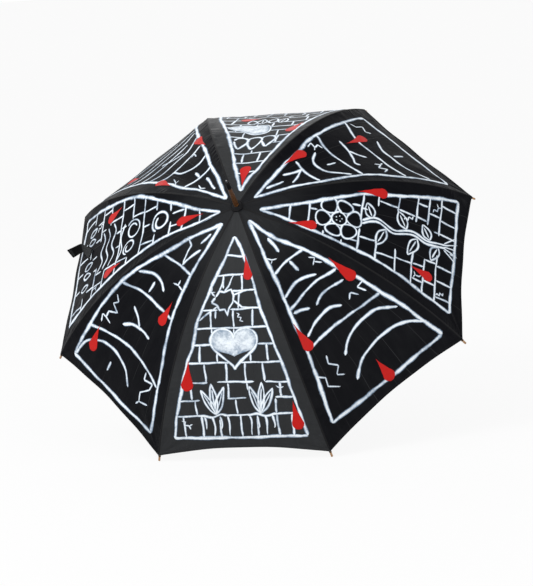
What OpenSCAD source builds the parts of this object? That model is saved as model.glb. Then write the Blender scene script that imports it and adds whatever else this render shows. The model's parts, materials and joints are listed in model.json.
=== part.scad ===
// A stick umbrella with eight ribs, open, resting on two rib tips and the bend of its
// crook handle. Millimetres, +Z up, the floor at z = 0.
//
// Everything is first drawn upright, with the shaft along Z and the rim of the canopy in
// the plane z = 0, and is then tipped over to the way it comes to rest.

/* [Canopy] */
// Radius of the open canopy, from the shaft's axis to a corner of the cloth
canopy_r = 500; // [420:5:600]
// Height of the crown above the plane through the corners
crown_h = 270; // [225:5:325]
// Slope of the cloth where it leaves the crown, in degrees
crown_slope = 3; // [0:0.5:8]
// Thickness of the cloth at its seams
cloth_t = 0.6; // [0.4:0.1:1.2]
// How far the cloth lies below a straight line from rib to rib, at its deepest
cloth_sag = 9; // [0:1:16]
// How far the hem bows in between two ribs
hem_bow = 16; // [0:1:28]
// Radius of the hole in the cloth at the crown
cloth_hole_r = 7; // [6:0.5:9]

/* [Ribs] */
// Width of the folded steel channel of a rib
rib_w = 3.2; // [2.6:0.2:4]
// Depth of that channel
rib_h = 2.6; // [2:0.2:3.6]
// Sheet thickness of ribs, stretchers and their clips
sheet_t = 0.5; // [0.4:0.1:0.8]
// Depth of a rib's centre line below the face of the cloth
rib_drop = 3.9; // [3.4:0.1:5]
// Radius of the wire ring at the crown that the ribs turn on
crown_ring_r = 9; // [8.5:0.5:12]
// Angle through which a rib swings as the umbrella closes
fold_angle = 58.5; // [50:0.5:60]
// Length of a rib's end cap beyond the corner of the cloth
tip_out = 15; // [8:1:24]
// Radius of that end cap
tip_r = 2.4; // [2:0.1:4]

/* [Stretchers] */
// Distance from the shaft's axis to the joint of a stretcher on its rib
joint_r = 260; // [230:5:290]
// Depth of that joint below the rib's centre line
joint_drop = 3.6; // [3.4:0.1:5]
// Width of a stretcher's channel
stretcher_w = 3; // [2.4:0.2:3.2]
// Depth of a stretcher's channel
stretcher_h = 2.4; // [2:0.2:3]
// Thickness of the flattened ends that turn on a wire or a rivet
flat_t = 1.8; // [1.2:0.1:2]
// Outer radius of those ends
eye_r = 1.9; // [1.7:0.1:2.4]
// Radius of the wires and rivets that they turn on
wire_r = 0.6; // [0.5:0.05:0.7]

/* [Runner] */
// Height of the stretchers' wire ring above the rim plane, with the umbrella open
runner_z = 57; // [30:1:90]
// Radius of that wire ring
runner_ring_r = 13; // [12:0.5:16]
// Length of the sliding tube below the ring
runner_skirt = 35; // [30:1:60]
// Length of the sliding tube above the ring
runner_top = 6; // [5:1:20]
// Wall of the sliding tube
runner_wall = 2; // [1.5:0.1:3]

/* [Shaft and handle] */
// Radius of the wooden shaft
shaft_r = 5; // [4.5:0.1:5.5]
// Depth of the centre of the handle's bend below the rim plane
bend_z = 497; // [470:1:620]
// Radius of the handle's bend, to the middle of the rod
bend_r = 34; // [26:1:45]
// Radius of the handle's rod
handle_r = 8; // [7:0.5:11]
// Length of the handle's straight grip
grip_l = 95; // [60:5:140]
// Length of the handle's free end beyond the bend
hook_end_l = 20; // [5:1:40]
// Length of the shaft inside the handle
socket_l = 40; // [20:5:50]
// Height of the metal collar on top of the handle
collar_h = 9; // [5:1:16]

/* [Spring catches] */
// Length of a catch from its pin to its nose
catch_l = 43; // [36:1:60]
// Thickness of a catch
catch_t = 1.2; // [0.8:0.1:1.6]
// How far a catch stands out of the shaft
catch_out = 3; // [2:0.1:4]

/* [Ferrule] */
// Length of the turned wooden ferrule above the crown
ferrule_l = 66; // [40:1:90]
// Radius of its lower end
ferrule_r = 5.6; // [5:0.1:7]
// Radius of its upper end
ferrule_top_r = 4.6; // [4:0.1:5]
// Length of the black cap on its end
cap_l = 20; // [12:1:30]
// Radius of that cap
cap_r = 5; // [4.8:0.1:6.5]
// How far the metal nib stands out of the cap
nib_l = 8; // [4:1:14]
// Radius of the round cup that covers the crown
cup_r = 14.5; // [12:0.5:20]

/* [Strap] */
// Thickness of the closing strap
strap_t = 1.4; // [0.8:0.1:2]
// Place of the strap along its gore's hem, from 0 at one rib to 1 at the next
strap_at = 0.73; // [0.6:0.01:0.8]

/* [Hidden] */
rib_count = 8;
first_azimuth = 112.5;
play = 0.3;       // between pieces that move past each other
snug = 0.05;      // between pieces that are fixed to each other
seam_gap = 0.3;   // between neighbouring gores
overlap = 0.5;    // by which cuts run past what they cut
gore_cols = 8;
gore_rows = 12;
front_gore = 5;

// The curve of a rib and of the cloth over it: one arc in each rib's own plane, from the
// crown ring out to the corner. Its slope grows from crown_slope to rim_slope.
chord = norm([canopy_r - crown_ring_r, crown_h]);
rim_slope = 2 * atan2(crown_h, canopy_r - crown_ring_r) - crown_slope;
cloth_arc = chord / 2 / sin((rim_slope - crown_slope) / 2);
arc_x = crown_ring_r - cloth_arc * sin(crown_slope);
arc_z = crown_h - cloth_arc * cos(crown_slope);
rib_arc = cloth_arc - rib_drop;

function on_arc(r, slope) = [arc_x + r * sin(slope), 0, arc_z + r * cos(slope)];
function slope_at(r, x) = asin((x - arc_x) / r);

ring_slope = slope_at(rib_arc, crown_ring_r);
ring_z = on_arc(rib_arc, ring_slope)[2];
joint_slope = slope_at(rib_arc, joint_r);
joint = on_arc(rib_arc - joint_drop, joint_slope);

// The linkage, in a rib's plane: the crown ring and the runner's ring, open and closed.
crown_pivot = [crown_ring_r, 0, ring_z];
runner_pivot = [runner_ring_r, 0, runner_z];
stretcher_l = norm(joint - runner_pivot);
stretcher_pitch = atan2(joint[2] - runner_z, runner_ring_r - joint[0]);
function swung(p, a) = [
    crown_pivot[0] + (p[0] - crown_pivot[0]) * cos(a) + (p[2] - crown_pivot[2]) * sin(a), 0,
    crown_pivot[2] - (p[0] - crown_pivot[0]) * sin(a) + (p[2] - crown_pivot[2]) * cos(a)];
joint_closed = swung(joint, fold_angle);
runner_closed_z = joint_closed[2]
    - sqrt(pow(stretcher_l, 2) - pow(joint_closed[0] - runner_ring_r, 2));
runner_travel = runner_z - runner_closed_z;
stretcher_pitch_closed = atan2(joint_closed[2] - runner_closed_z,
                               runner_ring_r - joint_closed[0]);
stretcher_swing = stretcher_pitch_closed - stretcher_pitch - fold_angle;

// The crown, from the notch up
notch_r = crown_ring_r + eye_r + 0.3;
notch_bottom_z = ring_z - 5;
notch_top_z = crown_h - cloth_t - 0.6;
cup_z = crown_h + 0.2;
ferrule_z = crown_h + 1.6;
ferrule_top_z = ferrule_z + ferrule_l;
cap_top_z = ferrule_top_z + cap_l;
spigot_r = 0.6 * shaft_r;
spigot_l = 28;
cap_spigot_r = ferrule_top_r - 1.2;
cap_spigot_l = 10;
nib_r = 1.2;
nib_seat = 6;
notch_pin_r = 0.8;
notch_pin_z = ring_z - 2.8;

// The runner and its catches
bore_r = shaft_r + play;
tube_r = bore_r + runner_wall;
hub_r = runner_ring_r + eye_r + 0.6;
hub_up = 3;
hub_down = 5;
slot_w = flat_t + 2 * play;
stop_pin_r = 1;
stop_pin_z = runner_z + runner_top + play + stop_pin_r;
catch_pin_r = 0.8;
catch_slot_w = catch_t + 2 * play;
catch_eye_r = 2;
catch_back = 1.2;
catch_ramp = 20;
nose_flat = 2;
top_nose_z = runner_z - runner_skirt - play;
top_pin_z = top_nose_z - catch_l;
window_low = runner_skirt - 5;
window_l = 17;
low_nose_z = runner_closed_z - window_low + play;
low_pin_z = low_nose_z + catch_l;

// The handle
grip_top_z = grip_l - bend_z;
shaft_bottom_z = grip_top_z - socket_l;

// How it rests: the noses of the two front tips and the bend of the handle touch the floor.
tip_nose = on_arc(rib_arc, rim_slope) + (tip_out - tip_r) * [cos(rim_slope), 0, -sin(rim_slope)];
front_y = -tip_nose[0] * cos(180 / rib_count);
front_z = tip_nose[2];
bend_reach = bend_r + handle_r;
rest_tilt = asin((bend_reach - tip_r) / norm([bend_r - front_y, front_z + bend_z]))
    + atan2(front_z + bend_z, bend_r - front_y);

function tipped(p) = [p[0], p[1] * cos(rest_tilt) - p[2] * sin(rest_tilt),
                      p[1] * sin(rest_tilt) + p[2] * cos(rest_tilt)];

rest_z = tip_r - tipped([0, front_y, front_z])[2];
back_reach = tipped([0, bend_r, -bend_z])[1] + bend_reach;
cloth_front = max([for (i = [0:gore_cols], j = [0:gore_rows])
    -tipped(cloth_point(front_gore, i / gore_cols, j / gore_rows))[1]]);
front_reach = max(tip_r - tipped([0, front_y, front_z])[1], cloth_front);
side_reach = tip_nose[0] * cos(180 / rib_count) + tip_r;
rest_y = (front_reach - back_reach) / 2;

// The strap: both its edges, where it is sewn on, at its bend and at its end, as [outwards,
// along the hem, up] from its place on the hem. It lies over the cloth and sticks out past it.
strap_edge_a = [[-68, -38, 73], [-15, 0, 34], [19, -18, 25]];
strap_edge_b = [[-64, -60, 64], [-26, -20, 31], [3, -28, 11]];
strap_gore = 7;
strap_root = cloth_point(strap_gore, strap_at, 1);
strap_azimuth = atan2(strap_root[1], strap_root[0]);
strap_reach = strap_t / 2 - min([for (p = concat(strap_edge_a, strap_edge_b))
    strap_root[0] + p[0] * cos(strap_azimuth) + p[1] * sin(strap_azimuth)]);
rest_x = max(0, strap_reach - side_reach) / 2;

function rib_azimuth(k) = first_azimuth - (k - 1) * 360 / rib_count;

// ---- Shared shapes ----

module at_rest() {
    translate([rest_x, rest_y, rest_z]) rotate([rest_tilt, 0, 0]) children();
}

// A rib's own plane: x out from the shaft, y along the rim, z up the shaft
module in_rib_plane(k) {
    rotate([0, 0, rib_azimuth(k)]) children();
}

// A point on the rib: x along the rib outwards, z out of its back
module at_slope(r, slope) {
    translate(on_arc(r, slope)) rotate([0, slope, 0]) children();
}

// A stretcher: x from its joint on the rib to the runner, z down and outwards
module along_stretcher() {
    translate(joint) rotate([0, 180 - atan2(joint[2] - runner_z, joint[0] - runner_ring_r), 0])
        children();
}

module cross_bore(r, l) {
    rotate([90, 0, 0]) cylinder(r = r, h = l, center = true, $fn = 32);
}

// The section of a channel, open towards -x
module channel_section(w, h) {
    difference() {
        square([h, w], center = true);
        translate([-sheet_t, 0]) square([h, w - 2 * sheet_t], center = true);
    }
}

// Sweeps a section along the rib's arc, from one slope to another
module arc_sweep(from, to) {
    translate([arc_x, 0, arc_z]) rotate([90, 0, 0]) rotate([0, 0, 90 - to])
        rotate_extrude(angle = to - from, $fn = 720) translate([rib_arc, 0]) children();
}

module ring(ring_radius, z) {
    translate([0, 0, z]) rotate_extrude($fn = 96) translate([ring_radius, 0]) circle(wire_r, $fn = 24);
}

// The cut that lets a wire ring into a hub from outside
module ring_groove(ring_radius, z, outer) {
    half = wire_r + 0.15;
    translate([0, 0, z]) rotate_extrude($fn = 96) {
        translate([ring_radius, 0]) circle(half, $fn = 24);
        translate([ring_radius, -half]) square([outer - ring_radius + overlap, 2 * half]);
    }
}

// The radial slots that the flattened ends stand in
module hub_slots(from_r, to_r, low_z, high_z) {
    for (k = [1:rib_count]) in_rib_plane(k)
        translate([from_r, -slot_w / 2, low_z]) cube([to_r - from_r, slot_w, high_z - low_z]);
}

// ---- Shaft, handle and ferrule ----

module shaft() {
    color("saddlebrown") difference() {
        union() {
            translate([0, 0, shaft_bottom_z])
                cylinder(r = shaft_r, h = ferrule_z - shaft_bottom_z, $fn = 64);
            translate([0, 0, ferrule_z - overlap])
                cylinder(r = spigot_r, h = spigot_l + overlap, $fn = 48);
        }
        catch_slot(top_pin_z - catch_eye_r - play, top_nose_z + play);
        catch_slot(low_nose_z - play, low_pin_z + catch_eye_r + play);
        for (z = [top_pin_z, low_pin_z]) translate([0, 0, z]) rotate([0, 0, 90])
            cross_bore(catch_pin_r + snug, 3 * shaft_r);
        translate([0, 0, notch_pin_z]) rotate([0, 0, 90]) cross_bore(notch_pin_r + snug, 3 * shaft_r);
        translate([0, 0, stop_pin_z]) rotate([0, 0, 90]) cross_bore(stop_pin_r + snug, 3 * shaft_r);
    }
}

module catch_slot(low_z, high_z) {
    translate([-catch_slot_w / 2, -shaft_r - overlap, low_z])
        cube([catch_slot_w, 2 * (shaft_r + overlap), high_z - low_z]);
}

module handle() {
    color("sienna") difference() {
        union() {
            translate([0, 0, -bend_z]) cylinder(r = handle_r, h = grip_l, $fn = 64);
            translate([0, bend_r, -bend_z]) rotate([0, 90, 0]) rotate([0, 0, -90])
                rotate_extrude(angle = 180, $fn = 128) translate([bend_r, 0]) circle(handle_r, $fn = 64);
            translate([0, 2 * bend_r, -bend_z]) {
                cylinder(r = handle_r, h = hook_end_l, $fn = 64);
                translate([0, 0, hook_end_l]) sphere(r = handle_r, $fn = 64);
            }
        }
        translate([0, 0, shaft_bottom_z - play])
            cylinder(r = shaft_r + snug, h = socket_l + play + overlap, $fn = 64);
    }
}

module handle_collar() {
    color("goldenrod") translate([0, 0, grip_top_z + snug]) difference() {
        union() {
            cylinder(r = handle_r + 0.4, h = collar_h - 2, $fn = 64);
            translate([0, 0, collar_h - 2]) cylinder(r = handle_r - 0.8, h = 2, $fn = 64);
        }
        translate([0, 0, -overlap]) cylinder(r = shaft_r + snug, h = collar_h + 2 * overlap, $fn = 64);
    }
}

module ferrule() {
    color("saddlebrown") difference() {
        union() {
            translate([0, 0, ferrule_z + snug]) cylinder(r = ferrule_r, h = 6, $fn = 64);
            translate([0, 0, ferrule_z + 6])
                cylinder(r1 = ferrule_r, r2 = ferrule_top_r, h = ferrule_l - 6, $fn = 64);
            translate([0, 0, ferrule_top_z - overlap])
                cylinder(r = cap_spigot_r, h = cap_spigot_l + overlap, $fn = 48);
        }
        translate([0, 0, ferrule_z - overlap])
            cylinder(r = spigot_r + snug, h = spigot_l + play + overlap, $fn = 48);
    }
}

module ferrule_cap() {
    color("black") difference() {
        union() {
            translate([0, 0, ferrule_top_z + snug]) cylinder(r = cap_r, h = cap_l - 1 - snug, $fn = 64);
            translate([0, 0, cap_top_z - 1]) cylinder(r1 = cap_r, r2 = cap_r - 1, h = 1, $fn = 64);
        }
        translate([0, 0, ferrule_top_z - overlap])
            cylinder(r = cap_spigot_r + snug, h = cap_spigot_l + play + overlap, $fn = 48);
        translate([0, 0, cap_top_z - nib_seat]) cylinder(r = nib_r + snug, h = nib_seat + overlap, $fn = 32);
    }
}

module ferrule_nib() {
    color("silver") translate([0, 0, cap_top_z - nib_seat + snug]) {
        cylinder(r = nib_r, h = nib_seat + nib_l - nib_r, $fn = 32);
        translate([0, 0, nib_seat + nib_l - nib_r]) sphere(r = nib_r, $fn = 32);
    }
}

// ---- Crown ----

module crown_cup() {
    hole_r = max(ferrule_r, shaft_r) + 0.2;
    color("dimgray") translate([0, 0, cup_z]) rotate_extrude($fn = 96) polygon([
        [hole_r, 0], [cup_r, 0], [cup_r, 2], [cup_r - 0.6, 3], [cup_r - 1.6, 3.2],
        [cup_r - 2.6, 2.4], [hole_r + 2, 5.4], [hole_r, 6]]);
}

module crown_notch() {
    color("black") difference() {
        translate([0, 0, notch_bottom_z])
            cylinder(r = notch_r, h = notch_top_z - notch_bottom_z, $fn = 96);
        translate([0, 0, notch_bottom_z - overlap])
            cylinder(r = shaft_r + snug, h = notch_top_z - notch_bottom_z + 2 * overlap, $fn = 64);
        hub_slots(crown_ring_r - eye_r - play, notch_r + overlap,
                  notch_bottom_z - overlap, notch_top_z + overlap);
        ring_groove(crown_ring_r, ring_z, notch_r);
        translate([0, 0, notch_pin_z]) rotate([0, 0, 90]) cross_bore(notch_pin_r + snug, 3 * notch_r);
    }
}

module crown_ring() { color("silver") ring(crown_ring_r, ring_z); }

module notch_pin() {
    color("silver") translate([0, 0, notch_pin_z]) rotate([0, 0, 90])
        cross_bore(notch_pin_r, 2 * notch_r - 1);
}

// ---- Runner and catches ----

module runner() {
    color("black") translate([0, 0, runner_z]) difference() {
        union() {
            translate([0, 0, -runner_skirt]) cylinder(r = tube_r, h = runner_skirt + runner_top, $fn = 96);
            translate([0, 0, -hub_down]) cylinder(r = hub_r, h = hub_down + hub_up, $fn = 96);
            translate([0, 0, -runner_skirt]) cylinder(r = tube_r + 1.6, h = 3, $fn = 96);
        }
        translate([0, 0, -runner_skirt - overlap])
            cylinder(r = bore_r, h = runner_skirt + runner_top + 2 * overlap, $fn = 96);
        hub_slots(runner_ring_r - eye_r - 1, hub_r + overlap, -hub_down - overlap, hub_up + overlap);
        ring_groove(runner_ring_r, 0, hub_r);
        translate([-catch_slot_w / 2 - 0.4, 0, -window_low])
            cube([catch_slot_w + 0.8, 2 * tube_r, window_l]);
    }
}

module runner_ring() { color("silver") ring(runner_ring_r, runner_z); }

module stop_pin() {
    color("silver") translate([0, 0, stop_pin_z]) rotate([0, 0, 90]) cross_bore(stop_pin_r, 2 * tube_r - 1);
}

module catch_pins() {
    color("silver") for (z = [top_pin_z, low_pin_z])
        translate([0, 0, z]) rotate([0, 0, 90]) cross_bore(catch_pin_r, 2 * shaft_r - 0.6);
}

// A flat catch that stands up from its pin: its nose has a level top and a long ramp below
module catch_blade() {
    nose = shaft_r + catch_out;
    rotate([90, 0, 90]) linear_extrude(catch_t, center = true) difference() {
        union() {
            circle(catch_eye_r, $fn = 32);
            polygon([[-catch_back, 0], [catch_back, 0], [shaft_r - 0.8, catch_l - catch_ramp],
                     [nose, catch_l - nose_flat], [nose, catch_l], [-catch_back, catch_l]]);
        }
        circle(catch_pin_r + 0.15, $fn = 32);
    }
}

module top_catch() { color("silver") translate([0, 0, top_pin_z]) catch_blade(); }

module bottom_catch() { color("silver") translate([0, 0, low_pin_z]) mirror([0, 0, 1]) catch_blade(); }

// ---- Ribs ----

eye_l = 8;
tip_seat = 12;
tip_pin_r = (rib_h - sheet_t) / 2 - 0.1;
rib_end = -3;      // beyond the corner of the cloth
tip_start = -2.2;  // the same for the tip
eye_slope = ring_slope + eye_l / rib_arc * 180 / PI;
rib_end_slope = rim_slope + rib_end / rib_arc * 180 / PI;

module rib(k) {
    color("dimgray") in_rib_plane(k) difference() {
        union() {
            arc_sweep(ring_slope, eye_slope + 0.2) square([rib_h - sheet_t, flat_t], center = true);
            arc_sweep(eye_slope, rib_end_slope) channel_section(rib_w, rib_h);
            at_slope(rib_arc, ring_slope) cross_bore(eye_r, flat_t);
            arc_sweep(rib_end_slope - 0.7, rib_end_slope + 0.05)
                square([rib_h - sheet_t, rib_w - sheet_t], center = true);
            at_slope(rib_arc, rib_end_slope) translate([-3, 0, 0]) rotate([0, 90, 0])
                cylinder(r = tip_pin_r, h = 3 + tip_seat, $fn = 32);
        }
        at_slope(rib_arc, ring_slope) cross_bore(wire_r + play, 2 * flat_t);
    }
}

module rib_tip(k) {
    color("burlywood") in_rib_plane(k) at_slope(rib_arc, rim_slope) rotate([0, 90, 0]) difference() {
        union() {
            translate([0, 0, tip_start]) cylinder(r = tip_r, h = tip_out - tip_r - tip_start, $fn = 48);
            translate([0, 0, tip_out - tip_r]) sphere(r = tip_r, $fn = 48);
        }
        translate([0, 0, tip_start - overlap])
            cylinder(r = tip_pin_r + snug, h = rib_end + tip_seat + play - tip_start + overlap, $fn = 32);
    }
}

// The folded clip that hangs the stretcher under the rib, with its rivet
module rib_clip(k) {
    inner_w = rib_w + 2 * snug;
    back_z = rib_h / 2 + snug;
    low = joint_drop + eye_r;
    color("gray") in_rib_plane(k) at_slope(rib_arc, joint_slope) {
        difference() {
            union() {
                for (side = [-1, 1]) translate([0, side * (inner_w + sheet_t) / 2, 0]) {
                    translate([-3, -sheet_t / 2, -joint_drop])
                        cube([6, sheet_t, joint_drop + back_z + sheet_t]);
                    translate([0, 0, -joint_drop]) cross_bore(low - joint_drop + 1, sheet_t);
                }
                translate([-3, -inner_w / 2 - sheet_t / 2, back_z]) cube([6, inner_w + sheet_t, sheet_t]);
            }
            translate([0, 0, -joint_drop]) cross_bore(wire_r + snug, 3 * rib_w);
        }
        translate([0, 0, -joint_drop]) {
            cross_bore(wire_r, inner_w + 2 * sheet_t + 0.4);
            for (side = [-1, 1]) translate([0, side * (inner_w / 2 + sheet_t + 0.3), 0]) cross_bore(1.2, 0.5);
        }
    }
}

// ---- Stretchers ----

// The end at the runner is a hook that lies under the ring and can leave it upwards
module stretcher(k) {
    hook_l = 8;
    lip = 0.4;
    color("dimgray") in_rib_plane(k) along_stretcher() difference() {
        union() {
            cross_bore(eye_r, flat_t);
            translate([0, -flat_t / 2, -stretcher_h / 2]) cube([eye_l, flat_t, stretcher_h]);
            translate([eye_l - 1, 0, 0]) rotate([0, 90, 0]) rotate([0, 0, 180])
                linear_extrude(stretcher_l - eye_l - hook_l + 1)
                    channel_section(stretcher_w, stretcher_h);
            translate([stretcher_l - hook_l - 1, -flat_t / 2, -stretcher_h / 2])
                cube([hook_l + 1, flat_t, stretcher_h]);
            translate([stretcher_l, 0, 0]) cross_bore(eye_r, flat_t);
        }
        cross_bore(wire_r + play, 2 * flat_t);
        translate([stretcher_l, 0, 0]) cross_bore(wire_r + play, 2 * flat_t);
        translate([stretcher_l - hook_l, -flat_t, lip - 2 * eye_r])
            cube([2 * hook_l, 2 * flat_t, 2 * eye_r]);
    }
}

// ---- Cloth ----

// A point of the cloth's face between two ribs: t runs from rib to rib, s from crown to hem
function cloth_point(k, t, s) =
    let (bow = 4 * t * (1 - t),
         inner = slope_at(cloth_arc, cloth_hole_r),
         outer = rim_slope - hem_bow * bow / cloth_arc * 180 / PI,
         slope = inner + (outer - inner) * s,
         p = on_arc(cloth_arc, slope),
         step = 360 / rib_count,
         edge = asin(seam_gap / 2 / p[0]),
         azimuth = rib_azimuth(k) - step / 2,
         half = step / 2 - edge,
         across = (1 - 2 * t) * p[0] * sin(half),
         out = p[0] * cos(half),
         sink = cloth_sag * bow * sin(180 * s))
    let (x = out - sink * sin(slope), z = p[2] - sink * cos(slope))
    [x * cos(azimuth) - across * sin(azimuth), x * sin(azimuth) + across * cos(azimuth), z];

function cloth_back(k, t, s) =
    let (slope = slope_at(cloth_arc, cloth_hole_r) * (1 - s) + rim_slope * s,
         azimuth = rib_azimuth(k) - t * 360 / rib_count,
         p = cloth_point(k, t, s))
    p - cloth_t * [sin(slope) * cos(azimuth), sin(slope) * sin(azimuth), cos(slope)];

module gore(k) {
    cols = gore_cols + 1;
    count = cols * (gore_rows + 1);
    face = [for (j = [0:gore_rows], i = [0:gore_cols]) cloth_point(k, i / gore_cols, j / gore_rows)];
    back = [for (j = [0:gore_rows], i = [0:gore_cols]) cloth_back(k, i / gore_cols, j / gore_rows)];
    rim = concat([for (i = [0:gore_cols]) i],
                 [for (j = [1:gore_rows]) j * cols + gore_cols],
                 [for (i = [1:gore_cols]) gore_rows * cols + gore_cols - i],
                 [for (j = [1:gore_rows - 1]) (gore_rows - j) * cols]);
    n = len(rim);
    color("black") polyhedron(concat(face, back), concat(
        [for (j = [0:gore_rows - 1], i = [0:gore_cols - 1]) let (a = j * cols + i) each
            [[a, a + 1, a + cols + 1], [a, a + cols + 1, a + cols]]],
        [for (j = [0:gore_rows - 1], i = [0:gore_cols - 1]) let (a = count + j * cols + i) each
            [[a, a + cols + 1, a + 1], [a, a + cols, a + cols + 1]]],
        [for (m = [0:n - 1]) let (a = rim[m], b = rim[(m + 1) % n]) each
            [[a, a + count, b + count], [a, b + count, b]]]), convexity = 4);
}

module strap() {
    color("black") translate(strap_root) rotate([0, 0, strap_azimuth])
        for (i = [0:len(strap_edge_a) - 2]) hull() for (p = [
            strap_edge_a[i], strap_edge_a[i + 1], strap_edge_b[i], strap_edge_b[i + 1]])
            translate([p[0], -p[1], p[2]]) sphere(d = strap_t, $fn = 8);
}

at_rest() shaft();
at_rest() handle();
at_rest() handle_collar();
at_rest() ferrule();
at_rest() ferrule_cap();
at_rest() ferrule_nib();
at_rest() crown_cup();
at_rest() crown_notch();
at_rest() crown_ring();
at_rest() notch_pin();
at_rest() runner();
at_rest() runner_ring();
at_rest() stop_pin();
at_rest() top_catch();
at_rest() bottom_catch();
at_rest() catch_pins();
at_rest() strap();
for (k = [1:rib_count]) {
    at_rest() rib(k);
    at_rest() rib_tip(k);
    at_rest() rib_clip(k);
    at_rest() stretcher(k);
    at_rest() gore(k);
}
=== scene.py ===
# %% [markdown]
# # A hand-painted stick umbrella, open and set down
#
# The umbrella is an eight-ribbed stick umbrella with a wooden shaft, a crook handle and a
# black polyester canopy that somebody has painted with white lines and red drops. It lies
# open on the floor, on two rib tips and the bend of its handle. The steel, wood and moulded
# parts come from the measured model. What Blender adds is the cloth, the paint on it, the
# strap and every finish. The first cell loads the model and keeps its parts and joints.

# %% Load the measured model
import json
from math import atan2, cos, hypot, pi, radians, sin

import bpy
import numpy as np
from mathutils import Matrix, Vector


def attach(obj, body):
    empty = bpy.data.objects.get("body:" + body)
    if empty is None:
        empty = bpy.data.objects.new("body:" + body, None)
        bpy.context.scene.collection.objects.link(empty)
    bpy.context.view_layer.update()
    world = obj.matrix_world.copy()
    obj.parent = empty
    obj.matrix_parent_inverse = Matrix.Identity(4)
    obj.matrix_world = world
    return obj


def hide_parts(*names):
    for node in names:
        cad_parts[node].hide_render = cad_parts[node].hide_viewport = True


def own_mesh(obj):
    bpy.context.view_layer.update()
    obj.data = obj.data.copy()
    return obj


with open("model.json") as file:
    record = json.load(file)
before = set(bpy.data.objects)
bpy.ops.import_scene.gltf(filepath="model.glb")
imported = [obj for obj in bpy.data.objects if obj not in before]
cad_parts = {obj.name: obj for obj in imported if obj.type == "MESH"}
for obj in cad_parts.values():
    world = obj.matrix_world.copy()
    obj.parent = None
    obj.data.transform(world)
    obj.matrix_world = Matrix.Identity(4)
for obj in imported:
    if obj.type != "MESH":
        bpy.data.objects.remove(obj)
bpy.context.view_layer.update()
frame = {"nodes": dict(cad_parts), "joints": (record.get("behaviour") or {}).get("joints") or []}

# %% [markdown]
# ## The sizes that everything follows
#
# An umbrella is drawn most easily upright: the shaft along Z and the rim of the canopy at
# height 0. Every rib and the cloth over it follow one arc, which leaves the crown almost
# level and gets steeper towards the rim. So a few sizes give the whole curve, and the rest
# is worked out from them.

# %% Driving sizes
MM = 0.001
RIBS = 8
first_rib_azimuth = 112.5
canopy_r, crown_h = 500 * MM, 270 * MM
crown_slope = radians(3)
crown_ring_r, rib_drop = 9 * MM, 3.9 * MM
cloth_sag, hem_bow, cloth_hole_r = 9 * MM, 16 * MM, 7 * MM
half_gore = pi / RIBS

rim_slope = 2 * atan2(crown_h, canopy_r - crown_ring_r) - crown_slope
cloth_arc = hypot(canopy_r - crown_ring_r, crown_h) / 2 / sin((rim_slope - crown_slope) / 2)
arc_x = crown_ring_r - cloth_arc * sin(crown_slope)
arc_z = crown_h - cloth_arc * cos(crown_slope)
hole_slope = np.arcsin((cloth_hole_r - arc_x) / cloth_arc)
rib_arc = cloth_arc - rib_drop
ring_z = arc_z + rib_arc * cos(np.arcsin((crown_ring_r - arc_x) / rib_arc))
gore_length = cloth_arc * (rim_slope - hole_slope)
print(f"a gore is {gore_length / MM:.0f} mm from crown to corner")


# %% [markdown]
# The umbrella doesn't stand upright, though. Its joints say how it lies: the runner slides
# along the shaft, and the eight rib hinges stand round the crown. From those two facts
# comes the small matrix that lays an upright point down in its real place.

# %% From upright to lying
joints = {j["name"]: j for j in frame["joints"]}
shaft_up = -np.array(joints["runner_slide"]["axis"])
side = np.array([1.0, 0.0, 0.0])
lying = np.array([side, np.cross(shaft_up, side), shaft_up])
hinges = np.array([joints[f"rib_{k}_swing"]["pos_m"] for k in range(1, RIBS + 1)])
rim_centre = hinges.mean(axis=0) - ring_z * shaft_up


def laid_down(points):
    return np.asarray(points) @ lying + rim_centre


def rib_azimuth(k):
    return radians(first_rib_azimuth - (k - 1) * 360 / RIBS)


print("rim centre", np.round(rim_centre, 4), "shaft points up along", np.round(shaft_up, 3))

# %% [markdown]
# ## Camera
#
# The camera looks along the shaft's lean from in front and slightly to the right, with a
# long lens from five metres, so that the canopy is seen from outside with little
# perspective. It is turned a few degrees about its own line of sight.

# %% Camera
aim = Vector((0.0024, -0.0453, 0.3127))
camera_azimuth, camera_height, camera_roll = radians(14.57), radians(8.409), radians(4.655)
camera_distance, lens_mm = 5.0, 135.15

camera_data = bpy.data.cameras.new("camera")
camera_data.lens = lens_mm
camera = bpy.data.objects.new("camera", camera_data)
bpy.context.scene.collection.objects.link(camera)
backwards = Vector((sin(camera_azimuth) * cos(camera_height),
                    -cos(camera_azimuth) * cos(camera_height), sin(camera_height)))
camera.location = aim + camera_distance * backwards
level = (-backwards).to_track_quat("-Z", "Y").to_matrix().to_4x4()
camera.matrix_world = (Matrix.Translation(camera.location) @ level
                       @ Matrix.Rotation(-camera_roll, 4, "Z"))
bpy.context.scene.camera = camera
print("camera at", [round(x, 3) for x in camera.location])

# %% [markdown]
# ## Finishes as expressions
#
# A finish in Blender is a net of nodes, which soon gets hard to read. The two small classes
# below let it be written as arithmetic. `Value` wraps one output of a node, and adding or
# multiplying values adds the Math nodes. `Finish` owns the net of one material and has one
# method, `add`, that makes any node: first its settings, then its inputs.

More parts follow.
